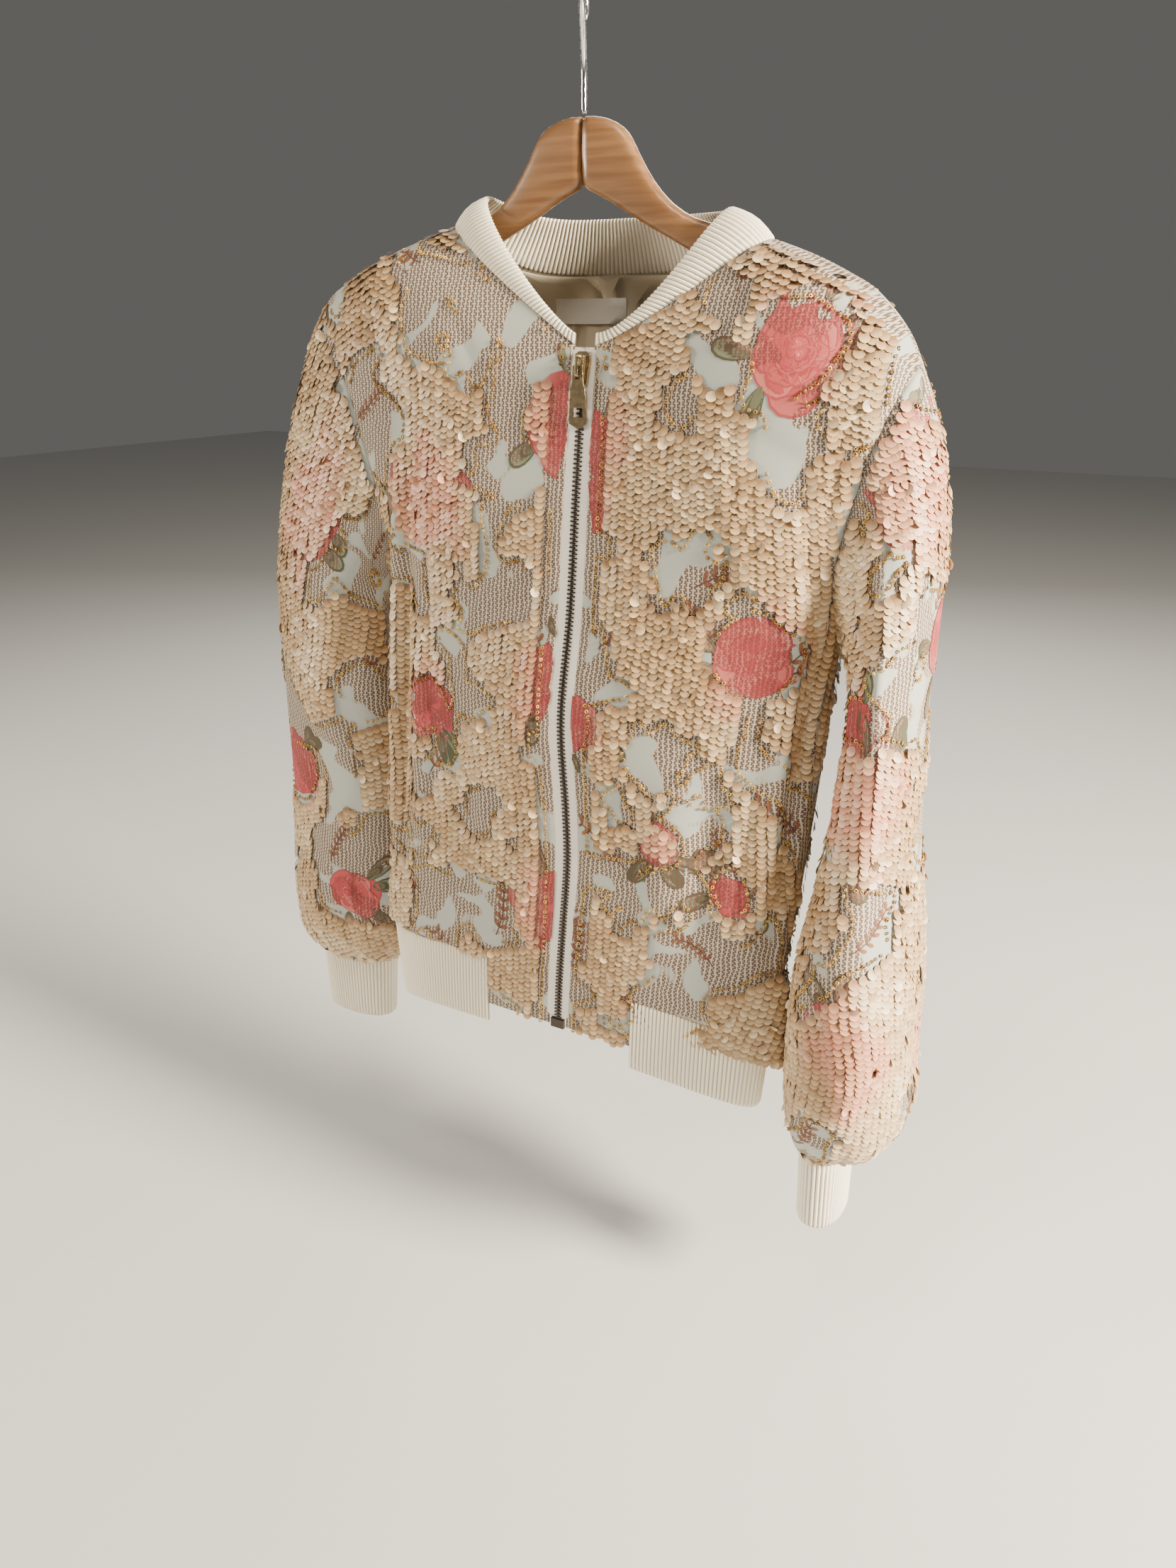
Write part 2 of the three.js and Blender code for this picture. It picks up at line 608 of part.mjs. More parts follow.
// Turns the faces round where the solid came out inside out
function facedOutwards(geometry) {
  const position = geometry.getAttribute('position');
  const index = geometry.getIndex();
  const [a, b, c] = [new THREE.Vector3(), new THREE.Vector3(), new THREE.Vector3()];
  let volume = 0;
  for (let i = 0; i < index.count; i += 3) {
    a.fromBufferAttribute(position, index.getX(i));
    b.fromBufferAttribute(position, index.getX(i + 1));
    c.fromBufferAttribute(position, index.getX(i + 2));
    volume += a.dot(b.cross(c));
  }
  if (volume < 0) {
    for (let i = 0; i < index.count; i += 3) {
      const swap = index.getX(i + 1);
      index.setX(i + 1, index.getX(i + 2));
      index.setX(i + 2, swap);
    }
  }
  return geometry;
}

const evenSteps = (from, to, count) => Array.from({ length: count + 1 }, (_, i) => mix(from, to, i / count));

// Levels of the body's rows, close together where the cloth rolls over the hem band
const rollLevels = [0, 0.02, 0.045, 0.07, 0.1, 0.13, 0.16, 0.22, 0.3];
const neckSteps = 7;
const upperLevels = [...evenSteps(1, neckLevel, 5), ...evenSteps(neckLevel, 2, neckSteps).slice(1)];
const bodyLevels = [...rollLevels, ...evenSteps(0.4, 1, 5).slice(0, -1), ...upperLevels];
const tabLevels = evenSteps((hemTabBottomZ - hemSeamZ) / (underarmZ - hemSeamZ), 0, 3).slice(0, -1);
const frontColumns = evenSteps(0, 1, 16);
const backColumns = evenSteps(0, 1, 12);

// Column of the front where the hem band starts and the cloth runs on down beside the zip
const tabColumn = frontColumns.findIndex((across) => {
  const point = plainBody(RIGHT, FRONT, across, 0);
  return Math.abs(point.x - innerEdge(RIGHT, FRONT, 0).x) > hemTabWidth;
}) - 1;

function bodyPoint(side, face, across, level) {
  const folded = (u, v) => foldedBody(side, face, u, v);
  const point = folded(across, level);
  const nearLevel = Math.min(Math.max(level, tabLevels[0] + 0.005), 1.995);
  const nearAcross = Math.min(Math.max(across, 0.008), 0.992);
  let outward = normalOf(folded, nearAcross, Math.max(nearLevel, level === 0 ? 0.006 : -1), -side * face);
  const clear = seamGap / 2;
  if (across === 1 && level > 1) {
    const around = face === FRONT ? (level - 1) / 2 : 1 - (level - 1) / 2;
    outward = armholeOutward(side, around);
    point.addScaledVector(armholeAcross(side, around), -clear);
  } else if (across === 1) {
    const below = plainBody(side, face, 1, Math.max(level - 0.006, 0));
    const run = plainBody(side, face, 1, level + 0.006).sub(below);
    outward = new THREE.Vector3(side * run.z, 0, -side * run.x).normalize();
    point.y += face * clear * (level > 0 && level < overhangTopLevel ? rollSideClear : 1);
    if (level === 1) {
      outward = armholeOutward(side, 0);
      point.x -= side * clear;
    }
  }
  if (level === 2) {
    if (across > 0 && across < 1) outward = new THREE.Vector3(0, 0, 1);
    point.y += face * clear;
  }
  if (across === 0 && face === FRONT && level < neckLevel) {
    outward = new THREE.Vector3(0, FRONT, 0);
    point.x += side * clear;
  }
  if (across === 0 && face === BACK && level < neckLevel) {
    const run = innerEdge(side, face, level + 0.006).sub(innerEdge(side, face, Math.max(level - 0.006, 0)));
    outward = new THREE.Vector3(0, run.z, -run.y).normalize();
  }
  if (across === 0 && level >= neckLevel) {
    const quarter = (level - neckLevel) / (2 - neckLevel) * Math.PI / 2;
    const turn = face === FRONT ? quarter : Math.PI - quarter;
    const shared = neckOutward(side, turn);
    outward = shared.outward;
    point.addScaledVector(shared.across, -clear);
  }
  if (level === 0 && across > frontColumns[tabColumn] - 0.001) {
    point.z += clear;
  }
  return { point, outward };
}

// Way the thickness runs in the neck seam, and the way from the body to the band
function neckOutward(side, turn) {
  const at = (angle) => neckPoint(neckSeam, side, Math.min(Math.max(angle, 0), Math.PI));
  const run = at(turn + 0.01).sub(at(turn - 0.01)).normalize();
  const edge = neckPoint(neckEdge, side, turn).sub(neckPoint(neckSeam, side, turn));
  const outward = run.clone().cross(edge).normalize();
  const point = neckPoint(neckSeam, side, turn);
  const away = new THREE.Vector3(point.x - neckSeam.back.x, point.y - neckSeam.sideY, 30);
  if (outward.dot(away) < 0) outward.negate();
  const across = run.cross(outward).normalize();
  if (across.dot(edge) < 0) across.negate();
  if (turn > Math.PI - 0.001) {
    outward.set(0, edge.z, -edge.y).normalize();
    across.set(0, edge.y, edge.z).normalize();
  }
  return { outward, across };
}

for (const side of [RIGHT, LEFT]) {
  const levels = [...tabLevels, ...bodyLevels];
  const front = wallGeometry(frontColumns, levels, (u, v) => bodyPoint(side, FRONT, u, v), {
    present: (i, j) => j >= tabLevels.length || i < tabColumn,
  });
  addPiece(side === RIGHT ? 'front_right' : 'front_left', front, 'sequinCloth');
}

// The back's two halves meet at the centre, up to the neck seam
const backHalves = [RIGHT, LEFT].map((side) => {
  const columns = side === RIGHT ? [...backColumns].reverse() : backColumns;
  const centre = side === RIGHT ? columns.length - 1 : -1;
  return wallFaces(columns, bodyLevels, (u, v) => bodyPoint(side, BACK, u, v), {
    meets: (i, j) => i === centre && bodyLevels[j] < neckLevel,
  });
});
addPiece('back', closedSolid(backHalves), 'sequinCloth');

// Sleeves
const sleeveAround = [
  ...upperLevels.map((level) => (level - 1) / 2),
  ...upperLevels.slice(1, -1).reverse().map((level) => 1 - (level - 1) / 2),
];
const sleeveDown = [...evenSteps(0, sleeveCapShare, 6), ...evenSteps(sleeveCapShare, 1, 12).slice(1)];

function sleevePoint(side, around, down) {
  const folded = (u, v) => foldedSleeve(side, u, v);
  const point = folded(around, down);
  if (down === 0) {
    point.addScaledVector(armholeAcross(side, around), seamGap / 2);
    return { point, outward: armholeOutward(side, around) };
  }
  const outward = normalOf(folded, around, Math.min(down, 0.995), -side);
  if (down === 1) {
    point.z += seamGap / 2;
    outward.setZ(0).normalize();
  }
  return { point, outward };
}

for (const side of [RIGHT, LEFT]) {
  const sleeve = wallGeometry(sleeveAround, sleeveDown, (u, v) => sleevePoint(side, u, v), { closed: true });
  addPiece(side === RIGHT ? 'sleeve_right' : 'sleeve_left', sleeve, 'sequinCloth');
}

// Cuffs
function cuffPoint(side, around, down) {
  const rows = sleeveSections[side];
  const top = sleeveSection(side, around, rows[rows.length - 1].z - 0.001);
  const end = cuffEnd[side];
  const angle = around * 2 * Math.PI;
  const soft = (wave) => Math.sign(wave) * Math.abs(wave) ** sleevePower;
  const low = new THREE.Vector3(
    end.x - side * end.reach * soft(Math.cos(angle)),
    end.y - end.depth * soft(Math.sin(angle)),
    end.z,
  );
  const point = top.lerp(low, down);
  if (down === 0) point.z -= seamGap / 2;
  const outward = new THREE.Vector3(
    -side * Math.cos(angle) / end.reach,
    -Math.sin(angle) / end.depth,
    0,
  ).normalize();
  return { point, outward };
}

for (const side of [RIGHT, LEFT]) {
  const wall = (around, down) => cuffPoint(side, around, down);
  const cuff = wallGeometry(sleeveAround, evenSteps(0, 1, 3), wall, { closed: true });
  addPiece(side === RIGHT ? 'cuff_right' : 'cuff_left', cuff, 'knit');
}

// Hem band, from the wearer's right front round the back to the left front
function hemBandPoint(place, down) {
  const side = place < 0 ? RIGHT : LEFT;
  const share = Math.abs(place);
  const face = share < 1 ? BACK : FRONT;
  const tabAcross = frontColumns[tabColumn];
  const across = face === BACK ? share : mix(1, tabAcross, share - 1);
  const drop = hemBandHeight + hemBandDrop * smooth(face === BACK ? 0.6 + 0.4 * share : 2 - share);
  const pull = mix(1, hemBandPull, down * smooth(face === BACK ? 1 : 2 - share));
  const seamPoint = plainBody(side, face, across, 0);
  const point = plainBody(side, face, across, -down * drop / (underarmZ - hemSeamZ));
  point.x = mix(centreBack[0].x, point.x, pull);
  point.z = seamPoint.z - drop * down;
  if (down === 0) point.z -= seamGap / 2 + hemTuck * limit(overhangAt(side, face, across) / 8);
  if (share === 2) point.x += side * seamGap;
  const quarter = across * Math.PI / 2;
  const outward = new THREE.Vector3(side * Math.sin(quarter) ** 3, face * Math.cos(quarter), 0).normalize();
  return { point, outward };
}

const hemBandPlaces = [
  ...evenSteps(-2, -1, 9),
  ...evenSteps(-1, 1, 20).slice(1),
  ...evenSteps(1, 2, 9).slice(1),
];
addPiece('hem_band', wallGeometry(hemBandPlaces, evenSteps(0, 1, 3), hemBandPoint), 'knit');

// Neck band, from the zip on the wearer's right round the back to the left
function neckBandPoint(place, up) {
  const side = place < 0 ? RIGHT : LEFT;
  const turn = Math.PI * (1 - Math.abs(place));
  const { outward, across } = neckOutward(side, turn);
  const low = neckPoint(neckSeam, side, turn).addScaledVector(across, seamGap / 2);
  const high = neckPoint(neckEdge, side, turn);
  const point = low.lerp(high, up);
  point.addScaledVector(outward, neckBandRoll * Math.sin(Math.PI * up) * Math.sin(turn));
  if (Math.abs(place) === 1) point.x += side * seamGap;
  return { point, outward };
}

const neckBandPlaces = evenSteps(-1, 1, 4 * neckSteps);
addPiece('neck_band', wallGeometry(neckBandPlaces, evenSteps(0, 1, 3), neckBandPoint), 'knit');

// Zip tapes, chain and bottom box, along the zip's centre line
function zipPoint(offset, z) {
  const point = pointAlong(zipLine, 'z', z);
  const run = pointAlong(zipLine, 'z', Math.min(z + 2, frontTopZ)).sub(pointAlong(zipLine, 'z', z - 2));
  point.x += offset;
  return { point, outward: new THREE.Vector3(0, -run.z, run.y).normalize() };
}

function zipStrip(fromOffset, toOffset, lowZ, highZ, thickness) {
  const levels = [...tabLevels, ...bodyLevels];
  const rows = levels.map((level) => innerEdge(LEFT, FRONT, Math.min(level, neckLevel)).z);
  const between = rows.filter((z) => z > lowZ + 1 && z < highZ - 1);
  return wallGeometry([fromOffset, toOffset], [lowZ, ...between, highZ], zipPoint, { thickness });
}

const halfGap = seamGap / 2;
for (const side of [RIGHT, LEFT]) {
  const strip = zipStrip(
    side * (chainHalfWidth + halfGap),
    side * (tapeHalfWidth - halfGap),
    stopTopZ + halfGap,
    frontTopZ - 1,
    tapeThickness,
  );
  addPiece(side === RIGHT ? 'zip_tape_right' : 'zip_tape_left', strip, 'tape');
}
const chainHalf = chainHalfWidth - halfGap;
const chain = zipStrip(-chainHalf, chainHalf, stopTopZ + halfGap, chainTopZ, chainThickness);
addPiece('zip_chain', chain, 'darkMetal');

const stopBox = new THREE.BoxGeometry(11, 3.2, stopTopZ - stopBottomZ - seamGap);
const stop = addPiece('zip_box', stopBox, 'brightMetal');
stop.position.copy(pointAlong(zipLine, 'z', (stopTopZ + stopBottomZ) / 2));
stop.position.z -= halfGap;

// Solid of a geometry for joining, and the joined solids as one geometry again
function manifoldOf(geometry) {
  const bare = geometry.clone();
  bare.deleteAttribute('normal');
  bare.deleteAttribute('uv');
  const merged = mergeVertices(bare, 1e-5);
  return new wasm.Manifold(new wasm.Mesh({
    numProp: 3,
    vertProperties: new Float32Array(merged.getAttribute('position').array),
    triVerts: new Uint32Array(merged.getIndex().array),
  }));
}

function joined(geometries) {
  const mesh = geometries.map(manifoldOf).reduce((whole, part) => whole.add(part)).getMesh();
  const geometry = new THREE.BufferGeometry();
  geometry.setAttribute('position', new THREE.Float32BufferAttribute(mesh.vertProperties, 3));
  geometry.setIndex(Array.from(mesh.triVerts));
  return geometry;
}

// Plate with an outline in X and Z, between two places along Y
function frontPlate(outline, holes, frontY, backY) {
  const shape = new THREE.Shape(outline.map(([x, z]) => new THREE.Vector2(x, z)));
  shape.holes = holes.map((hole) => new THREE.Path(hole.map(([x, z]) => new THREE.Vector2(x, z))));
  const plate = new THREE.ExtrudeGeometry(shape, { depth: backY - frontY, bevelEnabled: false });
  return plate.rotateX(Math.PI / 2).translate(0, backY, 0);
}

// Plate with an outline in Y and Z, centred across X
function sidePlate(outline, width) {
  const shape = new THREE.Shape(outline.map(([y, z]) => new THREE.Vector2(y, z)));
  const plate = new THREE.ExtrudeGeometry(shape, { depth: width, bevelEnabled: false });
  return plate.translate(0, 0, -width / 2).rotateX(Math.PI / 2).rotateZ(Math.PI / 2);
}

const rectangle = (half, low, high) => [[-half, low], [half, low], [half, high], [-half, high]];
const sliderOutline = [[-3.4, -11], [3.4, -11], [4.2, -8], [5.4, 4], [5.0, 8], [2.5, 9.5], [-2.5, 9.5],
  [-5.0, 8], [-5.4, 4], [-4.2, -8]];
const bailBar = [[bailOpenFront, -6], [bailFront, -4.8], [bailFront, 4.8], [bailOpenFront, 6]];
const bailLegFront = bailOpenFront - 0.5;
const bailLeg = (low, high) => [[sliderPlateFront, low], [bailLegFront, low], [bailLegFront, high],
  [sliderPlateFront, high]];
const tapeClear = tapeThickness / 2 + seamGap;
const sliderParts = [
  frontPlate(sliderOutline, [], sliderPlateFront, -tapeClear),
  frontPlate(sliderOutline, [], tapeClear, tapeClear + 1.6),
  frontPlate(rectangle(chainHalf, -10.5, 9), [], -tapeClear - 0.5, tapeClear + 0.5),
  frontPlate(rectangle(2.2, -7, 7), [], crownFront, sliderPlateFront + 0.5),
  sidePlate(bailBar, 2.4),
  sidePlate(bailLeg(4.8, 5.8), 2.4),
  sidePlate(bailLeg(-5.8, -4.8), 2.4),
];
const slider = addPiece('zip_slider', joined(sliderParts), 'brightMetal');
const sliderPlace = zipPoint(0, sliderZ);
const sliderLean = -Math.atan2(sliderPlace.outward.z, -sliderPlace.outward.y);
slider.position.copy(sliderPlace.point);
slider.rotation.x = sliderLean;

// Pull tab: its eye's top bar lies in the bail, and it hangs plumb
const tabHalf = tabThickness / 2;
const tabOutline = [[-3.4, tabHalf], [3.4, tabHalf], [3.9, -9], [5.0, -13], [6.4, -31], [6.0, -33.5],
  [0, -36.5], [-6.0, -33.5], [-6.4, -31], [-5.0, -13], [-3.9, -9]];
const tabEye = rectangle(1.7, -7.4, -tabHalf);
const tabWindow = rectangle(3.6, -29.5, -24);
const tabPlate = frontPlate(tabOutline, [tabEye, tabWindow], -tabHalf, tabHalf);
const pullTab = addPiece('pull_tab', tabPlate, 'brightMetal');
pullTab.position
  .set(0, pivotFront * Math.cos(sliderLean), pivotFront * Math.sin(sliderLean))
  .add(sliderPlace.point);

// Lining below the neck band at the back, where the open neck shows it, with the sewn-in label
function liningPoint(place, down, inset) {
  const side = place < 0 ? RIGHT : LEFT;
  const share = Math.abs(place);
  const across = mix(0, 0.42 * share, down);
  const level = mix(neckLevel + share * liningSideRise, liningLowLevel, down);
  const folded = (u, v) => foldedBody(side, BACK, u, v);
  const outward = normalOf(folded, Math.max(across, 0.008), level, -side * BACK);
  if (share === 0) outward.setX(0).normalize();
  return { point: folded(across, level).addScaledVector(outward, -inset), outward };
}

const liningInset = clothThickness / 2 + looseGap + liningThickness / 2;
const liningRows = [0.04, ...evenSteps(0.2, 1, 4)];
const lining = wallGeometry(evenSteps(-1, 1, 18), liningRows, (u, v) => liningPoint(u, v, liningInset), {
  thickness: liningThickness,
});
const liningPiece = addPiece('back_neck_lining', lining, 'lining');

// Label, a rectangle that lies on the lining's inner face
const towardsBack = new THREE.Vector3(0, 1, 0);
const sightLine = new THREE.Raycaster();
function labelPoint(x, z) {
  sightLine.set(new THREE.Vector3(x, -100, z), towardsBack);
  const { point } = sightLine.intersectObject(liningPiece)[0];
  point.y -= looseGap + labelThickness / 2;
  return { point, outward: towardsBack };
}

const labelColumns = evenSteps(labelRightX, labelLeftX, 8);
const label = wallGeometry(labelColumns, evenSteps(labelBottomZ, labelTopZ, 3), labelPoint, {
  thickness: labelThickness,
});
addPiece('neck_label', label, 'label');

// Closed solid through rings of points, with a flat face on each end
function loftGeometry(rings) {
  const count = rings[0].length;
  const positions = rings.flat().flatMap((point) => point.toArray());
  const indices = [];
  for (let j = 0; j < rings.length - 1; j += 1) {
    for (let i = 0; i < count; i += 1) {
      const a = j * count + i;
      const b = j * count + (i + 1) % count;
      indices.push(a, b, b + count, a, b + count, a + count);
    }
  }
  const last = (rings.length - 1) * count;
  for (let i = 1; i < count - 1; i += 1) {
    indices.push(0, i + 1, i, last, last + i, last + i + 1);
  }
  const geometry = new THREE.BufferGeometry();
  geometry.setAttribute('position', new THREE.Float32BufferAttribute(positions, 3));
  geometry.setIndex(indices);
  return facedOutwards(geometry);
}

// Hanger arms, two halves that meet at the mitre
const armStations = [seamGap / 2, 6, 12, 18, 24, 28, 31, 34, 37, 42, 47, 53, 60, 68, 76, 85, 94, 108, 124,
  137, 150, 162, 172, 181, 187, 191, armTipX];
function armRing(side, x) {
  const value = (column) => along(armRows, 'x', column, x) - side * x * armTilt;
  const middle = (value('top') + value('bottom')) / 2;
  const half = (value('top') - value('bottom')) / 2;
  const tipShare = Math.max((x - armTipRoundFrom) / (armTipX + 1 - armTipRoundFrom), 0);
  const tipRound = Math.sqrt(Math.max(1 - tipShare ** 2, 0.1));
  const ring = [];
  for (let i = 0; i < 12; i += 1) {
    const angle = (i + 0.5) / 12 * 2 * Math.PI;
    const soft = (wave) => Math.sign(wave) * Math.abs(wave) ** armSectionPower;
    ring.push(new THREE.Vector3(
      side * x,
      armHalfThickness * tipRound * soft(Math.cos(angle)),
      middle + half * (0.35 + 0.65 * tipRound) * soft(Math.sin(angle)),
    ));
  }
  return ring;
}

for (const side of [RIGHT, LEFT]) {
  const arm = loftGeometry(armStations.map((x) => armRing(side, x)));
  addPiece(side === RIGHT ? 'hanger_arm_right' : 'hanger_arm_left', arm, 'wood');
}

// Hook: a stem on the mitre, then round the seat in a plane turned from the jacket's own
const wireRadius = hookRadius + hookWire;
const hookHeading = hookTurn * Math.PI / 180;
const hookPlane = new THREE.Vector3(Math.sin(hookHeading), -Math.cos(hookHeading), 0);
const hookSide = new THREE.Vector3(-hookPlane.y, hookPlane.x, 0);
const hookPoint = (out, z) => hookPlane.clone().multiplyScalar(out).setZ(z);
const hookArc = evenSteps(hookStartAngle, hookTipAngle, 20).map((degrees) => {
  const angle = degrees * Math.PI / 180;
  return hookPoint(wireRadius * Math.cos(angle), wireRadius * Math.sin(angle) - hookRadius);
});
const stemFoot = armRows[0].top + seamGap;
const stemPlaces = [[0, stemFoot], [0, -72], [0, -62], [2.6, -53], [9, -43]];
const hookStem = stemPlaces.map(([out, z]) => hookPoint(out, z));
const hookRoute = new THREE.CatmullRomCurve3([...hookStem, ...hookArc], false, 'centripetal');
const hookRings = evenSteps(0, 1, 46).map((share) => {
  const centre = hookRoute.getPoint(share);
  const forward = hookRoute.getTangent(share);
  const up = hookSide.clone().cross(forward).normalize();
  const radius = share === 1 ? hookWire * 0.6 : hookWire;
  return evenSteps(0, 2 * Math.PI, 8).slice(0, -1).map((angle) => centre.clone()
    .addScaledVector(hookSide, radius * Math.cos(angle))
    .addScaledVector(up, radius * Math.sin(angle)));
});
addPiece('hanger_hook', loftGeometry(hookRings), 'chrome');

export default jacket;
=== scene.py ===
import bpy
import bmesh
import math
import numpy as np
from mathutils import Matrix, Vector


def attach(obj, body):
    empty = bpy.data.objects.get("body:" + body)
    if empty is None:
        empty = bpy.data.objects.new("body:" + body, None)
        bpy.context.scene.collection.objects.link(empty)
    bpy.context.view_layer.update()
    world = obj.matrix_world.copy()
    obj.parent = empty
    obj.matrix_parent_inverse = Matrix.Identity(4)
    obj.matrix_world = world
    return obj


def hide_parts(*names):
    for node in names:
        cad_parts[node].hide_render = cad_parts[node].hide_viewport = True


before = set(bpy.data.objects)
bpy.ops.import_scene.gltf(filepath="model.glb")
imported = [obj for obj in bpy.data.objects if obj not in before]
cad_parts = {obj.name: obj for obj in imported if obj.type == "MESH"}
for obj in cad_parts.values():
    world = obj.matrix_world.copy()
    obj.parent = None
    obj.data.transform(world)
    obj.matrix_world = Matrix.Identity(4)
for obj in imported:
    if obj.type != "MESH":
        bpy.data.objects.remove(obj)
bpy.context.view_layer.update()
JACKET = "jacket_on_hanger"

# Hanger hook: a steel wire bent into a hook and screwed into the top of the wood.
# It is bright chrome, round, and a little under 4 mm thick.


def node(tree, kind, inputs=None, **settings):
    """Adds a node; inputs maps a socket's name or number to a value or to another node's socket."""
    made = tree.nodes.new(kind)
    for name, value in settings.items():
        setattr(made, name, value)
    for name, value in (inputs or {}).items():
        if isinstance(value, bpy.types.NodeSocket):
            tree.links.new(value, made.inputs[name])
        else:
            made.inputs[name].default_value = value
    return made


def sums(tree, operation, *values):
    """Output of a Math node worked on numbers or sockets."""
    return node(tree, "ShaderNodeMath", dict(enumerate(values)), operation=operation).outputs[0]


def new_material(name, **sockets):
    """A material with its Principled shader; sockets are given by name with _ for each space."""
    material = bpy.data.materials.new(name)
    material.use_nodes = True
    shader = material.node_tree.nodes["Principled BSDF"]
    for socket, value in sockets.items():
        shader.inputs[socket.replace("_", " ")].default_value = value
    return material, material.node_tree, shader


def shaded_smooth(piece, angle=None):
    """Smooth shading, with edges sharper than the angle left sharp."""
    for polygon in piece.data.polygons:
        polygon.use_smooth = True
    if angle is not None:
        piece.data.set_sharp_from_angle(angle=math.radians(angle))


def finer_copy(node_name, name, material, body=JACKET, bevel=None, rounding=0):
    """A CAD node's solid with its corners welded, then bevelled or rounded, shown in its place."""
    solid_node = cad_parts[node_name]
    piece = bpy.data.objects.new(name, solid_node.data.copy())
    piece.data.transform(solid_node.matrix_world)
    bpy.context.scene.collection.objects.link(piece)
    solid = bmesh.new()
    solid.from_mesh(piece.data)
    bmesh.ops.remove_doubles(solid, verts=solid.verts, dist=1e-6)
    if bevel:
        bmesh.ops.dissolve_limit(solid, angle_limit=math.radians(1), verts=solid.verts, edges=solid.edges)
    solid.to_mesh(piece.data)
    solid.free()
    piece.data.materials.clear()
    piece.data.materials.append(material)
    shaded_smooth(piece, 40)
    if bevel:
        edge = piece.modifiers.new("rounded edges", "BEVEL")
        edge.width = bevel
        edge.segments = 2
        edge.angle_limit = math.radians(35)
        edge.harden_normals = True
    if rounding:
        soft = piece.modifiers.new("rounding", "SUBSURF")
        soft.levels = soft.render_levels = rounding
    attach(piece, body)
    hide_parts(node_name)
    return piece


chrome, _, _ = new_material("chrome wire", Base_Color=(0.78, 0.78, 0.79, 1), Metallic=1.0, Roughness=0.14)
finer_copy("hanger_hook", "hook_wire", chrome, rounding=1)

# Hanger arms: two halves of steamed beech, mitred and glued in the middle, sanded round and varnished.
# The grain runs along each arm, with the short dark flecks of beech.

beech, tree, shader = new_material("varnished beech", Roughness=0.34, Coat_Weight=0.35, Coat_Roughness=0.2)
where = node(tree, "ShaderNodeTexCoord").outputs["Object"]
for side, slope in (("left", 0.36), ("right", -0.36)):
    turned = node(tree, "ShaderNodeMapping", {"Vector": where, "Rotation": (0, slope, 0),
                                              "Scale": (14, 150, 240)})
    grain = node(tree, "ShaderNodeTexNoise", {"Vector": turned.outputs[0], "Scale": 1.0, "Detail": 5.0})
    if side == "left":
        left_grain = grain.outputs["Fac"]
across = node(tree, "ShaderNodeSeparateXYZ", {0: where}).outputs["X"]
on_left = sums(tree, "GREATER_THAN", across, 0.0)
grain_value = node(tree, "ShaderNodeMix", {"Factor": on_left, "A": grain.outputs["Fac"], "B": left_grain})
wood_ramp = node(tree, "ShaderNodeValToRGB", {"Fac": grain_value.outputs[0]})
dark_wood, pale_wood = wood_ramp.color_ramp.elements
dark_wood.position, dark_wood.color = 0.32, (0.19, 0.088, 0.036, 1)
pale_wood.position, pale_wood.color = 0.68, (0.32, 0.165, 0.072, 1)
tree.links.new(wood_ramp.outputs[0], shader.inputs["Base Color"])
wood_bump = node(tree, "ShaderNodeBump", {"Strength": 0.12, "Distance": 0.0004,
                                          "Height": grain_value.outputs[0]})
tree.links.new(wood_bump.outputs[0], shader.inputs["Normal"])
for side in ("right", "left"):
    finer_copy(f"hanger_arm_{side}", f"wooden_arm_{side}", beech, rounding=1)

# Body cloth: two fronts and a back of white net, woven over a taupe lining, cut straight and joined
# at the sides and shoulders. The cloth hangs in soft folds and rolls over the hem band.
# Millimetres, with the same tables as the part's source.

RIGHT, LEFT, FRONT, BACK = -1, 1, -1, 1
CLOTH_THICKNESS = 2.0
EDGE_THICKNESS = 0.7
TAPE_HALF_WIDTH = 7.0
FRONT_TOP_Z = -213
HEM_SEAM_Z = -640
UNDERARM_Z = -378
HEM_TAB_BOTTOM_Z = -682
HEM_TAB_WIDTH = 64
NECK_LEVEL = 1.5
SECTION_POWER = 0.85
CHEST_POWER = 0.6
CHEST_POWER_FROM = 1.65
OVERHANG_TOP_LEVEL = 0.16
OVERHANG_OUT = 0.22
ROLL_OUT_POWER = 0.6
ROLL_DROP_POWER = 1.8


def table(columns, *rows):
    """Rows of numbers under named columns."""
    return dict(zip(columns.split(), np.array(rows, float).T))


def each_row(rows, columns):
    """The rows of a table one by one, with their values in the order of the columns named."""
    return zip(*(rows[name] for name in columns.split()))


zip_line = table(
    "z x y",
    (-684, 12, -62.5), (-640, 14.5, -63), (-598, 18, -63.5), (-548, 22, -64), (-513, 20.5, -62.5),
    (-448, 15.5, -59.8), (-375, 19.5, -53.5), (-302, 21, -48), (-258, 21, -42.5), (-213, 21, -36),
)
side_seam = {
    RIGHT: table("level x y z", (0, -150, -37, -644), (0.3, -153, -28, -566), (0.65, -151, -14, -472),
                 (1, -150, -6, -378)),
    LEFT: table("level x y z", (0, 166, -37, -652), (0.3, 174, -28, -572), (0.65, 179, -14, -480),
                (1, 183, -4, -388)),
}
centre_back = table("level x y z", (0, 8, -9, -640), (0.35, 8, 10, -548), (0.7, 5, 25, -456),
                    (1, 2, 34, -378), (1.25, -3, 43, -275), (1.5, -8, 47, -170))
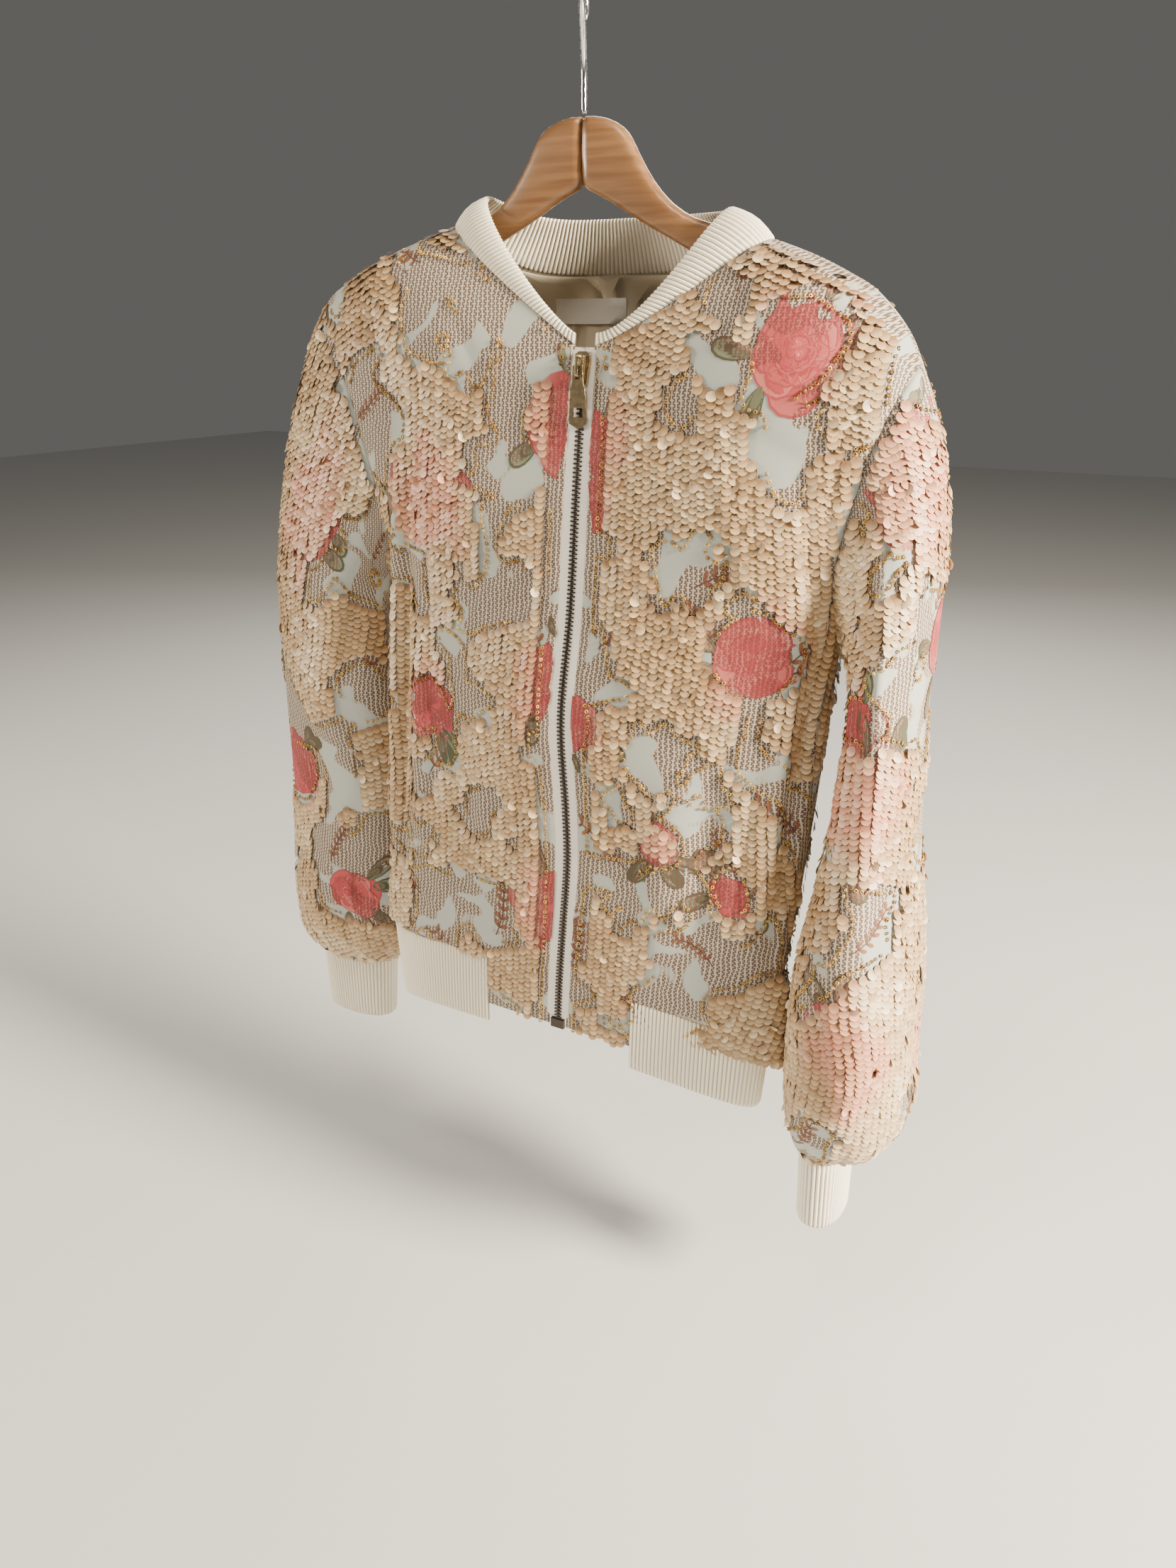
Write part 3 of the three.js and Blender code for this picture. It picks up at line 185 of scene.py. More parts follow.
armhole = {
    (RIGHT, FRONT): table("level x y z", (1, -150, -6, -378), (1.25, -148, -29, -322), (1.5, -163, -32, -266),
                          (1.75, -182, -27, -217), (1.9, -201, -14, -195), (2, -209, 0, -188)),
    (RIGHT, BACK): table("level x y z", (1, -150, -6, -378), (1.25, -160, 22, -322), (1.5, -174, 33, -266),
                         (1.75, -190, 29, -217), (1.9, -203, 18, -195), (2, -209, 0, -188)),
    (LEFT, FRONT): table("level x y z", (1, 183, -4, -388), (1.25, 185, -26, -337), (1.5, 196, -30, -288),
                         (1.75, 208, -24, -248), (1.9, 215, -12, -230), (2, 217, 0, -222)),
    (LEFT, BACK): table("level x y z", (1, 183, -4, -388), (1.25, 189, 22, -337), (1.5, 200, 33, -288),
                        (1.75, 210, 28, -248), (1.9, 216, 16, -230), (2, 217, 0, -222)),
}
chest_bulge = table("level out", (1, 0), (1.25, 7), (1.5, 10), (1.75, 12), (1.9, 12), (2, 0))
hem_overhang = {(RIGHT, FRONT): (6, 18), (RIGHT, BACK): (16, 18),
                (LEFT, FRONT): (8, 44), (LEFT, BACK): (16, 44)}
FOLD_COLUMNS = "across width start stop depth lean"
body_folds = {
    (RIGHT, FRONT): table(
        FOLD_COLUMNS,
        (0.5, 0.065, 0.12, 1.2, 4, -0.03), (0.62, 0.065, 0.05, 1.5, -6, -0.04),
        (0.73, 0.065, 0.08, 1.45, 6, -0.05), (0.84, 0.065, 0.1, 1.3, -6, -0.04),
        (0.3, 0.07, 0.1, 0.9, -3, 0.05), (0.72, 0.08, 1.3, 1.85, -4, -0.2),
        (0.56, 0.022, 0.15, 1.0, -2.4, -0.03), (0.68, 0.02, 0.1, 1.3, 2.6, -0.05),
        (0.79, 0.02, 0.1, 1.25, 2.4, -0.04), (0.9, 0.022, 0.1, 1.0, -2.2, -0.02),
        (0.42, 0.024, 0.3, 1.1, -1.8, 0.04), (0.2, 0.02, 0.2, 0.8, 1.3, 0.05),
        (0.36, 0.02, 1.1, 1.7, -1.6, -0.3), (0.6, 0.025, 1.35, 1.9, 2.0, -0.25),
    ),
    (LEFT, FRONT): table(
        FOLD_COLUMNS,
        (0.8, 0.065, 0.1, 1.5, -5, 0.03), (0.66, 0.07, 0.1, 1.2, 4, 0.04),
        (0.4, 0.07, 0.1, 0.8, -4, 0.06), (0.25, 0.065, 0.15, 0.7, 3, 0.08),
        (0.73, 0.022, 0.2, 1.1, -2.0, 0.04), (0.87, 0.022, 0.1, 1.2, 2.2, 0.02),
        (0.55, 0.025, 0.15, 0.7, -1.8, 0.05), (0.33, 0.02, 0.2, 0.6, 1.4, 0.06),
        (0.48, 0.022, 0.9, 1.6, 1.2, -0.2), (0.9, 0.022, 1.2, 1.8, -1.6, -0.1),
    ),
    (LEFT, BACK): table(
        FOLD_COLUMNS,
        (0.35, 0.07, 0.1, 1.1, -5, 0.05), (0.55, 0.065, 0.1, 1.3, 5, 0.03),
        (0.74, 0.065, 0.1, 1.4, -5, 0.04), (0.63, 0.022, 0.1, 0.9, -2, 0.03),
        (0.84, 0.022, 0.2, 1.2, 2.2, 0.02), (0.45, 0.022, 0.2, 0.9, 1.6, 0.04),
    ),
    (RIGHT, BACK): table(
        FOLD_COLUMNS,
        (0.28, 0.07, 0.1, 0.9, -4, 0.04), (0.5, 0.065, 0.1, 1.3, 5, 0.05),
        (0.7, 0.065, 0.1, 1.35, -6, 0.04), (0.6, 0.022, 0.1, 1.0, -2, 0.03),
        (0.8, 0.022, 0.15, 1.2, 2.2, 0.03), (0.4, 0.022, 0.2, 0.8, 1.6, 0.04),
    ),
}
arm_top = table("x top", (0, -83), (12, -84), (24, -88), (31, -94), (37, -104), (47, -119), (60, -132),
                (76, -140.5), (94, -145), (124, -155), (150, -163.5), (172, -173), (187, -181.5), (194, -188))
neck_seam = {"front_y": -36, "front_z": FRONT_TOP_Z, "back_x": -8, "back_y": 47, "back_z": -170, "side_y": 1,
             RIGHT: {"x": -94, "rise": 1.0}, LEFT: {"x": 124, "rise": 1.3}}


def along(rows, key, column, at):
    """Smooth value of a table's column at places given in its key column."""
    order = np.argsort(rows[key])
    places, values = rows[key][order], rows[column][order]
    at = np.asarray(at, float)
    last = len(places) - 1
    i = np.clip(np.searchsorted(places, at, side="left") - 1, 0, last - 1)
    before, after = np.maximum(i - 1, 0), np.minimum(i + 2, last)
    span = places[i + 1] - places[i]
    start_slope = (values[i + 1] - values[before]) / (places[i + 1] - places[before]) * span
    end_slope = (values[after] - values[i]) / (places[after] - places[i]) * span
    u = (at - places[i]) / span
    return (values[i] * (1 + 2 * u) * (1 - u) ** 2 + start_slope * u * (1 - u) ** 2
            + values[i + 1] * u * u * (3 - 2 * u) + end_slope * u * u * (u - 1))


def mix(a, b, share):
    """What lies between a and b, by a share."""
    return a + (b - a) * share


def smooth(value):
    """A share from 0 to 1 that starts and ends gently."""
    value = np.clip(value, 0, 1)
    return value * value * (3 - 2 * value)


def xyz(x, y, z):
    """Points or ways from arrays or numbers for each axis."""
    return np.stack(np.broadcast_arrays(x, y, z), axis=-1).astype(float)


def unit(vectors):
    """The same ways with a length of one."""
    return vectors / np.maximum(np.linalg.norm(vectors, axis=-1, keepdims=True), 1e-9)


def shoulder_row(across, x, z=None):
    """A row of the shoulder seam, which lies on the hanger's arm unless its height is given."""
    on_arm = along(arm_top, "x", "top", min(abs(x), 194)) - x * 0.02 + CLOTH_THICKNESS / 2 + 1.2
    return across, x, neck_seam["side_y"] * (1 - across), float(on_arm) if z is None else z


shoulder_seam = {
    RIGHT: table("across x y z", shoulder_row(0, -94), shoulder_row(0.25, -122), shoulder_row(0.5, -150),
                 shoulder_row(0.75, -177), shoulder_row(0.9, -197, -178.5), shoulder_row(1, -209, -188)),
    LEFT: table("across x y z", shoulder_row(0, 124), shoulder_row(0.25, 150), shoulder_row(0.5, 172),
                shoulder_row(0.7, 188, -183.5), shoulder_row(0.86, 206, -202), shoulder_row(1, 217, -222)),
}


def neck_point(ring, side, turn):
    """Point of the neck seam or of the band's free edge: 0 at the zip, a half turn at the back."""
    end = ring[side]
    side_z = end.get("z", shoulder_seam[side]["z"][0])
    reach = np.clip(np.sin(turn), 0, 1)
    forward, rearward = 1 - np.cos(turn), -np.cos(turn)
    in_front = turn <= math.pi / 2
    front_x = zip_line["x"][-1] + side * TAPE_HALF_WIDTH
    front_y = mix(ring["front_y"], ring["side_y"], forward)
    back_y = mix(ring["side_y"], ring["back_y"], rearward)
    front_z = mix(ring["front_z"], side_z, reach ** end["rise"])
    back_z = mix(side_z, ring["back_z"], smooth(rearward))
    return xyz(mix(np.where(in_front, front_x, ring["back_x"]), end["x"], reach),
               np.where(in_front, front_y, back_y), np.where(in_front, front_z, back_z))


def table_point(rows, key, at):
    """Points on the line that a table's x, y and z describe."""
    return xyz(along(rows, key, "x", at), along(rows, key, "y", at), along(rows, key, "z", at))


def inner_edge(side, face, level):
    """Centre edge of a half panel: the zip's tape or the centre back, then the neck seam."""
    neck_share = np.clip((level - NECK_LEVEL) / (2 - NECK_LEVEL), 0, 1)
    if face == FRONT:
        chest_share = (level - 1) / (NECK_LEVEL - 1)
        body_z, chest_z = mix(HEM_SEAM_Z, UNDERARM_Z, level), mix(UNDERARM_Z, FRONT_TOP_Z, chest_share)
        z = np.where(level < 1, body_z, chest_z)
        held = np.clip(z, zip_line["z"][0], FRONT_TOP_Z)
        x = along(zip_line, "z", "x", held) + side * TAPE_HALF_WIDTH
        edge = xyz(x, along(zip_line, "z", "y", held), z)
        turn = neck_share * math.pi / 2
    else:
        held = np.clip(level, 0, NECK_LEVEL)
        z = along(centre_back, "level", "z", np.minimum(level, NECK_LEVEL))
        edge = xyz(along(centre_back, "level", "x", held), along(centre_back, "level", "y", held), z)
        turn = math.pi * (1 - neck_share / 2)
    return np.where((level > NECK_LEVEL)[..., None], neck_point(neck_seam, side, turn), edge)


def outer_edge(side, face, level):
    """Outer edge of a half panel: the side seam, then the armhole."""
    low = table_point(side_seam[side], "level", np.clip(level, 0, 1))
    high = table_point(armhole[side, face], "level", np.maximum(level, 1))
    return np.where((level <= 1)[..., None], low, high)


def overhang_at(side, face, across):
    """How far the cloth hangs over the hem band; none beside the zip, where it runs on down."""
    middle, edge = hem_overhang[side, face]
    tab_share = smooth((across - 0.32) / 0.3) if face == FRONT else 1
    return mix(middle, edge, smooth(across)) * tab_share


def plain_body(side, face, across, level):
    """Cloth of half the body before its folds, for arrays of places."""
    inner, outer = inner_edge(side, face, level), outer_edge(side, face, level)
    flat = smooth((level - 1) / 0.7)
    quarter = np.clip(across, 0, 1) * math.pi / 2
    sideways = mix(np.sin(quarter) ** SECTION_POWER, across, flat)
    inward = mix(1 - np.maximum(np.cos(quarter), 0) ** SECTION_POWER, across, flat)
    x = mix(inner[..., 0], outer[..., 0], sideways)
    y = mix(inner[..., 1], outer[..., 1], inward)
    z = mix(inner[..., 2], outer[..., 2], np.where(level < 0, 0, sideways))
    power = mix(1, CHEST_POWER, smooth((level - CHEST_POWER_FROM) / 0.3))
    bulge = along(chest_bulge, "level", "out", np.clip(level, 1, 2))
    y = y + face * np.where(level > 1, bulge * np.maximum(np.sin(math.pi * across), 0) ** power, 0)
    seam = table_point(shoulder_seam[side], "across", across)
    share = smooth((level - NECK_LEVEL) / (2 - NECK_LEVEL))
    ends = shoulder_seam[side]
    x = x + (seam[..., 0] - mix(ends["x"][0], ends["x"][-1], across)) * share
    z = z + (seam[..., 2] - mix(ends["z"][0], ends["z"][-1], across)) * share
    sag = overhang_at(side, face, across)
    roll = np.maximum(np.sin(math.pi * np.clip(level / OVERHANG_TOP_LEVEL, 0, 1)), 0)
    out = sag * OVERHANG_OUT * roll ** ROLL_OUT_POWER
    return xyz(x + side * out * sideways, y + face * out * (1 - sideways ** 2),
               z - sag * roll ** ROLL_DROP_POWER)


def grid_normals(points, sign):
    """Outward normals of a grid of points."""
    return unit(np.cross(np.gradient(points, axis=1), np.gradient(points, axis=0))) * sign


def bump(value, centre, width):
    """A soft hill of height one."""
    return np.exp(-(((value - centre) / width) ** 2))


def body_grid(side, face, columns, levels):
    """Points and outward normals of half the body with its folds."""
    across, level = np.meshgrid(columns, levels)
    plain = plain_body(side, face, across, level)
    offset = np.zeros_like(across)
    for place, width, start, stop, depth, lean in each_row(body_folds[side, face], FOLD_COLUMNS):
        middle, half = (start + stop) / 2, (stop - start) / 2
        window = np.cos(math.pi / 2 * np.clip(np.abs((level - middle) / half), 0, 1))
        offset += depth * window * bump(across, place + lean * (level - middle), width)
    offset *= smooth(across / 0.12) * smooth((1 - across) / 0.12)
    points = plain + grid_normals(plain, -side * face) * offset[..., None]
    return points, grid_normals(points, -side * face)


def steps(start, stop, count):
    """Even steps from start to stop, with both ends."""
    return list(np.linspace(start, stop, count + 1))


def wall_arrays(points, outward, places, present=None, closed=False, meets=(None, None)):
    """Vertices, faces, face layers and cloth places of a wall over a grid of points."""
    rows, columns = points.shape[:2]
    cell_columns = columns if closed else columns - 1
    present = np.ones((rows - 1, cell_columns), bool) if present is None else present
    half = np.full((rows, columns, 1), CLOTH_THICKNESS / 2)
    half[0] = half[-1] = EDGE_THICKNESS / 2
    if not closed:
        half[:, 0] = half[:, -1] = EDGE_THICKNESS / 2
    corners = np.concatenate([points + outward * half, points - outward * half]).reshape(-1, 3)
    inner = rows * columns
    j, i = np.nonzero(present)
    a, b = j * columns + i, j * columns + (i + 1) % columns
    d, c = a + columns, b + columns
    faces = [np.stack([a, b, c, d], 1), np.stack([a, d, c, b], 1) + inner]
    layers = [np.zeros(len(a), int), np.ones(len(a), int)]
    filled = np.pad(present, 1)
    if closed:
        filled[1:-1, 0], filled[1:-1, -1] = present[:, -1], present[:, 0]
    for dj, di, p, q in ((-1, 0, a, b), (1, 0, c, d), (0, 1, b, c), (0, -1, d, a)):
        bare = ~filled[j + 1 + dj, i + 1 + di]
        for column, top_row in filter(None, meets):
            bare &= ~((i + di == column) & (j < top_row))
        faces.append(np.stack([p, p + inner, q + inner, q], 1)[bare])
        layers.append(np.zeros(bare.sum(), int))
    return corners, np.concatenate(faces), np.concatenate(layers), np.concatenate([places.reshape(-1, 2)] * 2)


def mesh_object(name, corners, faces, materials, layers=None, places=None, weld=False, closed=True):
    """A mesh in metres from millimetres, faced outwards if closed, with its cloth places as a UV map."""
    a, b, c = (corners[faces[:, k]] for k in range(3))
    volume = np.sum(a * np.cross(b, c)) + np.sum(a * np.cross(c, corners[faces[:, -1]]))
    if closed and volume < 0:
        faces = faces[:, ::-1]
    mesh = bpy.data.meshes.new(name)
    mesh.from_pydata((corners / 1000).tolist(), [], faces.tolist())
    for material in materials:
        mesh.materials.append(material)
    if layers is not None:
        mesh.polygons.foreach_set("material_index", layers.astype(np.int32))
    if places is not None:
        layer = mesh.uv_layers.new(name="cloth")
        loops = np.zeros(len(mesh.loops), np.int32)
        mesh.loops.foreach_get("vertex_index", loops)
        layer.data.foreach_set("uv", (places[loops] / 100).astype(np.float32).ravel())
    if weld:
        solid = bmesh.new()
        solid.from_mesh(mesh)
        bmesh.ops.remove_doubles(solid, verts=solid.verts, dist=2e-6)
        solid.to_mesh(mesh)
        solid.free()
    piece = bpy.data.objects.new(name, mesh)
    bpy.context.scene.collection.objects.link(piece)
    shaded_smooth(piece)
    return piece


def cloth_places(points, reference, start):
    """Where each grid point lies on the flat cloth: distance across from the reference column, and height."""
    run = np.linalg.norm(np.diff(points, axis=1), axis=2)
    width = np.concatenate([np.zeros((len(points), 1)), np.cumsum(run, axis=1)], axis=1)
    width -= width[:, reference][:, None]
    return np.stack([width + start[:, None], points[..., 2]], axis=-1)


# The material of the ground: ladders of white thread with bars between them, and solid woven clouds


def node_tree(kind, name, inputs, outputs):
    """A node group with its named sockets and their kinds, and the outputs of its input node."""
    tree = bpy.data.node_groups.new(name, kind)
    for in_out, sockets in (("INPUT", inputs), ("OUTPUT", outputs)):
        for socket, socket_kind in sockets.items():
            tree.interface.new_socket(socket, in_out=in_out, socket_type="NodeSocket" + socket_kind)
    return tree, node(tree, "NodeGroupInput").outputs


def from_middle(tree, place):
    """How far a place lies from the middle of its unit step, from 0 to 0.5."""
    return sums(tree, "ABSOLUTE", sums(tree, "SUBTRACT", sums(tree, "FRACT", place), 0.5))


def tinted(tree, share, first, second, **settings):
    """The first colour turned into the second by a share."""
    inputs = {"Factor": share, "A": first, "B": second}
    return node(tree, "ShaderNodeMix", inputs, data_type="RGBA", **settings).outputs["Result"]


net_tree, given = node_tree("ShaderNodeTree", "net threads",
                            {"Place": "Vector", "Ladder Pitch": "Float", "Bar Pitch": "Float"},
                            {"Thread": "Float", "Woven": "Float"})
waver = node(net_tree, "ShaderNodeTexNoise", {"Vector": given["Place"], "Scale": 0.09, "Detail": 2.0})
place = node(net_tree, "ShaderNodeSeparateXYZ", {0: given["Place"]}).outputs
shifted = sums(net_tree, "ADD", place["X"], sums(net_tree, "MULTIPLY", waver.outputs["Fac"], 5.0))
ladder_place = sums(net_tree, "DIVIDE", shifted, given["Ladder Pitch"])
ladder_mask = sums(net_tree, "LESS_THAN", from_middle(net_tree, ladder_place), 0.16)
step_up = sums(net_tree, "MULTIPLY", sums(net_tree, "FLOOR", ladder_place), 0.5)
bar_place = sums(net_tree, "ADD", sums(net_tree, "DIVIDE", place["Y"], given["Bar Pitch"]), step_up)
bar_mask = sums(net_tree, "LESS_THAN", from_middle(net_tree, bar_place), 0.14)
threads = sums(net_tree, "MAXIMUM", ladder_mask, sums(net_tree, "MULTIPLY", bar_mask, 0.85))
cloud = node(net_tree, "ShaderNodeTexNoise", {"Vector": given["Place"], "Scale": 0.026, "Detail": 1.5,
                                              "Distortion": 0.6})
cloud_edge = {"Value": cloud.outputs["Fac"], "From Min": 0.55, "From Max": 0.57}
woven = node(net_tree, "ShaderNodeMapRange", cloud_edge).outputs[0]
node(net_tree, "NodeGroupOutput", {"Thread": sums(net_tree, "MAXIMUM", threads, woven), "Woven": woven})


def cloth_place_nodes(tree):
    """The flat cloth's place in millimetres, for a material."""
    held = node(tree, "ShaderNodeUVMap", uv_map="cloth").outputs[0]
    return node(tree, "ShaderNodeVectorMath", {0: held, "Scale": 100}, operation="SCALE").outputs[0]


def net_nodes(tree):
    """Where the net has thread and where it is woven solid, for a material."""
    sizes = {"Place": cloth_place_nodes(tree), "Ladder Pitch": 3.3, "Bar Pitch": 3.0}
    return node(tree, "ShaderNodeGroup", sizes, node_tree=net_tree).outputs


net_cloth, tree, shader = new_material("net over lining", Roughness=0.7)
net = net_nodes(tree)
thread_shade = tinted(tree, net["Woven"], (0.54, 0.47, 0.385, 1), (0.43, 0.46, 0.435, 1))
ground = tinted(tree, net["Thread"], (0.12, 0.08, 0.06, 1), thread_shade)
tree.links.new(ground, shader.inputs["Base Color"])
raised = node(tree, "ShaderNodeBump", {"Strength": 0.5, "Distance": 0.0005, "Height": net["Thread"]})
tree.links.new(raised.outputs[0], shader.inputs["Normal"])

# Inside, the jacket is lined with plain cream cloth
lining_cloth, _, _ = new_material("cream lining", Base_Color=(0.62, 0.55, 0.45, 1), Roughness=0.55)

# Beside the zip each front runs on down as a tab, which ends on a column of the part's own wall
CAD_COLUMNS = 17
cad_columns = np.linspace(0, 1, CAD_COLUMNS)
row_at_hem = plain_body(RIGHT, FRONT, cad_columns, np.zeros(CAD_COLUMNS))
from_zip = np.abs(row_at_hem[:, 0] - row_at_hem[0, 0])
TAB_ACROSS = cad_columns[np.argmax(from_zip > HEM_TAB_WIDTH) - 1]
tab_low = (HEM_TAB_BOTTOM_Z - HEM_SEAM_Z) / (UNDERARM_Z - HEM_SEAM_Z)
tab_levels = steps(tab_low, 0, 9)[:-1]
body_levels = steps(0, OVERHANG_TOP_LEVEL, 20) + steps(OVERHANG_TOP_LEVEL, 1, 52)[1:]
body_levels += steps(1, NECK_LEVEL, 26)[1:] + steps(NECK_LEVEL, 2, 26)[1:]
tab_columns = steps(0, TAB_ACROSS, 14)
front_columns = tab_columns + steps(TAB_ACROSS, 1, 34)[1:]
back_columns = steps(0, 1, 48)
RASTER_ROW = 2.5


def raster_of(points, outward, places, first_row):
    """The wall's points and normals on rows of even height, for laying things on the cloth."""
    heights = np.arange(points[..., 2].min(), points[..., 2].max(), RASTER_ROW)
    values = np.concatenate([points, outward, places[..., :1]], axis=-1)
    on_row = np.full((len(heights), points.shape[1], 7), np.nan)
    for i, low in enumerate(first_row):
        column = values[low:, i]
        if column[-1, 2] <= column[0, 2]:
            column = column[::-1]
        z = np.maximum.accumulate(column[:, 2])
        within = (heights >= z[0]) & (heights <= z[-1])
        for k in range(7):
            on_row[within, i, k] = np.interp(heights[within], z, column[:, k])
    return {"heights": heights, "rows": on_row}


def lay(cloth, u, z, margins=(0.0, 0.0)):
    """Points and outward normals of places on the cloth, and which lie on it, away from its two sides."""
    heights, rows = cloth["heights"], cloth["rows"]
    share = (z - heights[0]) / (heights[1] - heights[0])
    low = np.clip(np.floor(share).astype(int), 0, len(heights) - 2)
    share = np.clip(share - low, 0, 1)
    found = np.zeros((len(u), 6))
    on_cloth = (z >= heights[0]) & (z <= heights[-1])
    for k in np.unique(low):
        chosen = np.nonzero(low == k)[0]
        ends = []
        for row in (rows[k], rows[k + 1]):
            good = ~np.isnan(row[:, 6])
            if good.sum() < 3:
                on_cloth[chosen] = False
                continue
            places = np.maximum.accumulate(row[good, 6])
            on_cloth[chosen] &= (u[chosen] >= places[0] + margins[0]) & (u[chosen] <= places[-1] - margins[1])
            ends.append(np.stack([np.interp(u[chosen], places, row[good, m]) for m in range(6)], 1))
        if len(ends) == 2:
            found[chosen] = mix(ends[0], ends[1], share[chosen][:, None])
    return found[:, :3], unit(found[:, 3:]), on_cloth


def flat_size(points, present=None):
    """Width, length and area, in metres, of a grid of points in millimetres when it is laid flat."""
    across, down = np.diff(points, axis=1), np.diff(points, axis=0)
    cells = np.linalg.norm(np.cross(across[:-1], down[:, :-1]), axis=2)
    if present is not None:
        cells = cells * present
    width = np.linalg.norm(across, axis=2).sum(axis=1).max()
    length = np.linalg.norm(down, axis=2).sum(axis=0).max()
    return (width / 1000, length / 1000), min(cells.sum() / 1e6, width * length / 1e6)


cloths, walls, flat_cuts = {}, {}, {}
two_sides = ((RIGHT, "right"), (LEFT, "left"))
levels = np.array(tab_levels + body_levels)
present = np.ones((len(levels) - 1, len(front_columns) - 1), bool)
present[:len(tab_levels), len(tab_columns) - 1:] = False
for side, side_name in two_sides:
    name = f"front_{side_name}"
    points, outward = body_grid(side, FRONT, front_columns, levels)
    edge_z = np.clip(points[:, 0, 2], zip_line["z"][0], FRONT_TOP_Z)
    places = cloth_places(points, 0, np.abs(points[:, 0, 0] - along(zip_line, "z", "x", edge_z)))
    corners, faces, layers, flat = wall_arrays(points, outward, places, present)
    walls[name] = mesh_object(f"{name}_cloth", corners, faces, [net_cloth, lining_cloth], layers, flat)
    lowest = np.argmin(points[len(tab_levels):, :, 2], axis=0) + len(tab_levels)
    first_row = np.where(np.arange(len(front_columns)) < len(tab_columns), 0, lowest)
    cloths[name] = raster_of(points, outward, places, first_row)
    flat_cuts[name] = flat_size(points, present)

# The back's halves share their edge at the centre, which keeps the cloth's full thickness
halves = [body_grid(side, BACK, back_columns, np.array(body_levels)) for side in (RIGHT, LEFT)]
on_centre = np.array(body_levels) <= NECK_LEVEL + 1e-6
shared = unit((halves[0][1][:, 0] + halves[1][1][:, 0]) * (0, 1, 1))
corner_sets, face_sets, layer_sets, flat_sets = [], [], [], []
split_row = int(on_centre.sum()) - 1
centre_x = along(centre_back, "level", "x", np.clip(body_levels, 0, NECK_LEVEL))
for (side, side_name), (points, outward) in zip(two_sides, halves):
    outward[on_centre, 0] = shared[on_centre]
    places = cloth_places(points, 0, np.abs(points[:, 0, 0] - centre_x))
    cloths[f"back_{side_name}"] = raster_of(points, outward, places, np.argmin(points[..., 2], axis=0))
    places = places * (side, 1)
    corners, faces, layers, flat = wall_arrays(points, outward, places, meets=((-1, split_row), None))
    if side == RIGHT:
        faces = faces[:, ::-1]
    layered = corners.reshape(2, len(body_levels), len(back_columns), 3)
    for layer, way in ((0, CLOTH_THICKNESS / 2), (1, -CLOTH_THICKNESS / 2)):
        layered[layer, :split_row + 1, 0] = points[:split_row + 1, 0] + way * outward[:split_row + 1, 0]
    face_sets.append(faces + sum(len(held) for held in corner_sets))
    corner_sets.append(layered.reshape(-1, 3))
    layer_sets.append(layers)
    flat_sets.append(flat)
walls["back"] = mesh_object("back_cloth", np.concatenate(corner_sets), np.concatenate(face_sets),
                            [net_cloth, lining_cloth], np.concatenate(layer_sets),
                            np.concatenate(flat_sets), weld=True)
flat_cuts["back"] = flat_size(np.concatenate([halves[0][0][:, ::-1], halves[1][0][:, 1:]], axis=1))
for name, piece in walls.items():
    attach(piece, JACKET)
    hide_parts(name)

# Sleeves: a long tube each, of the same net on its lining, set into the armhole, full above the cuff and
# gathered into it. The wearer's left sleeve hangs turned, its width front to back.

sleeve_sections = {
    RIGHT: table("z x y reach depth turn", (-408, -217, -4, 54, 34, 12), (-455, -219, -4, 59, 33, 14),
                 (-520, -219, 0, 60, 32, 10), (-590, -223, 4, 61, 35, 8), (-645, -224, 5, 62, 39, 6),
                 (-684, -224, 5, 58, 37, 4), (-703, -226, 4, 46, 28, 2), (-712, -228, 3, 35, 19, 0)),
    LEFT: table("z x y reach depth turn", (-412, 217, 6, 20, 50, 0), (-460, 218, 4, 22, 53, 0),
                (-526, 217, 0, 27, 57, 0), (-595, 218, -14, 36, 60, 0), (-665, 219, -16, 39, 60, 0),
                (-712, 219, -12, 38, 55, 0), (-736, 210, -8, 26, 40, 0), (-748, 204, -6, 16, 29, 0)),
}
SLEEVE_CAP_START = {RIGHT: (-0.55, 0, -0.84), LEFT: (0.42, 0, -0.91)}
SLEEVE_CAP_SHARE = 0.4
SLEEVE_POWER = 0.9
CUFF_GATHERS = 9
CUFF_GATHER_DEPTH = 2.6
CUFF_GATHER_HEIGHT = 62
SLEEVE_FOLD_COLUMNS = "around width low high depth lean"
sleeve_folds = {
    RIGHT: table(
        SLEEVE_FOLD_COLUMNS,
        (0.1, 0.05, -470, -330, -7, 0.1), (0.2, 0.05, -560, -430, 5, -0.12),
        (0.3, 0.05, -640, -500, -6, 0.14), (0.16, 0.05, -680, -590, -5, 0.1),
        (0.6, 0.06, -620, -440, -6, 0.1), (0.8, 0.06, -560, -400, 5, -0.1),
        (0.24, 0.018, -420, -300, -2.2, 0.1), (0.36, 0.02, -560, -420, 2.2, 0.12),
        (0.22, 0.018, -650, -540, 2.0, 0.1), (0.7, 0.02, -650, -500, -2.0, 0.1),
        (0.5, 0.02, -600, -380, 1.6, -0.06),
    ),
    LEFT: table(
        SLEEVE_FOLD_COLUMNS,
        (0.2, 0.04, -560, -300, -5, 0.03), (0.36, 0.06, -640, -440, -4, 0.1),
        (0.3, 0.05, -700, -600, 5, -0.1), (0.62, 0.06, -600, -400, -6, 0.1),
        (0.8, 0.06, -680, -520, 5, -0.1), (0.5, 0.05, -690, -600, -4, 0.1),
        (0.28, 0.02, -520, -300, 2.4, 0.03), (0.42, 0.018, -480, -330, 1.8, 0.05),
        (0.24, 0.018, -690, -560, -2.2, 0.08), (0.45, 0.02, -700, -590, 2.0, 0.06),
        (0.72, 0.02, -660, -420, 2.0, 0.05),
    ),
}


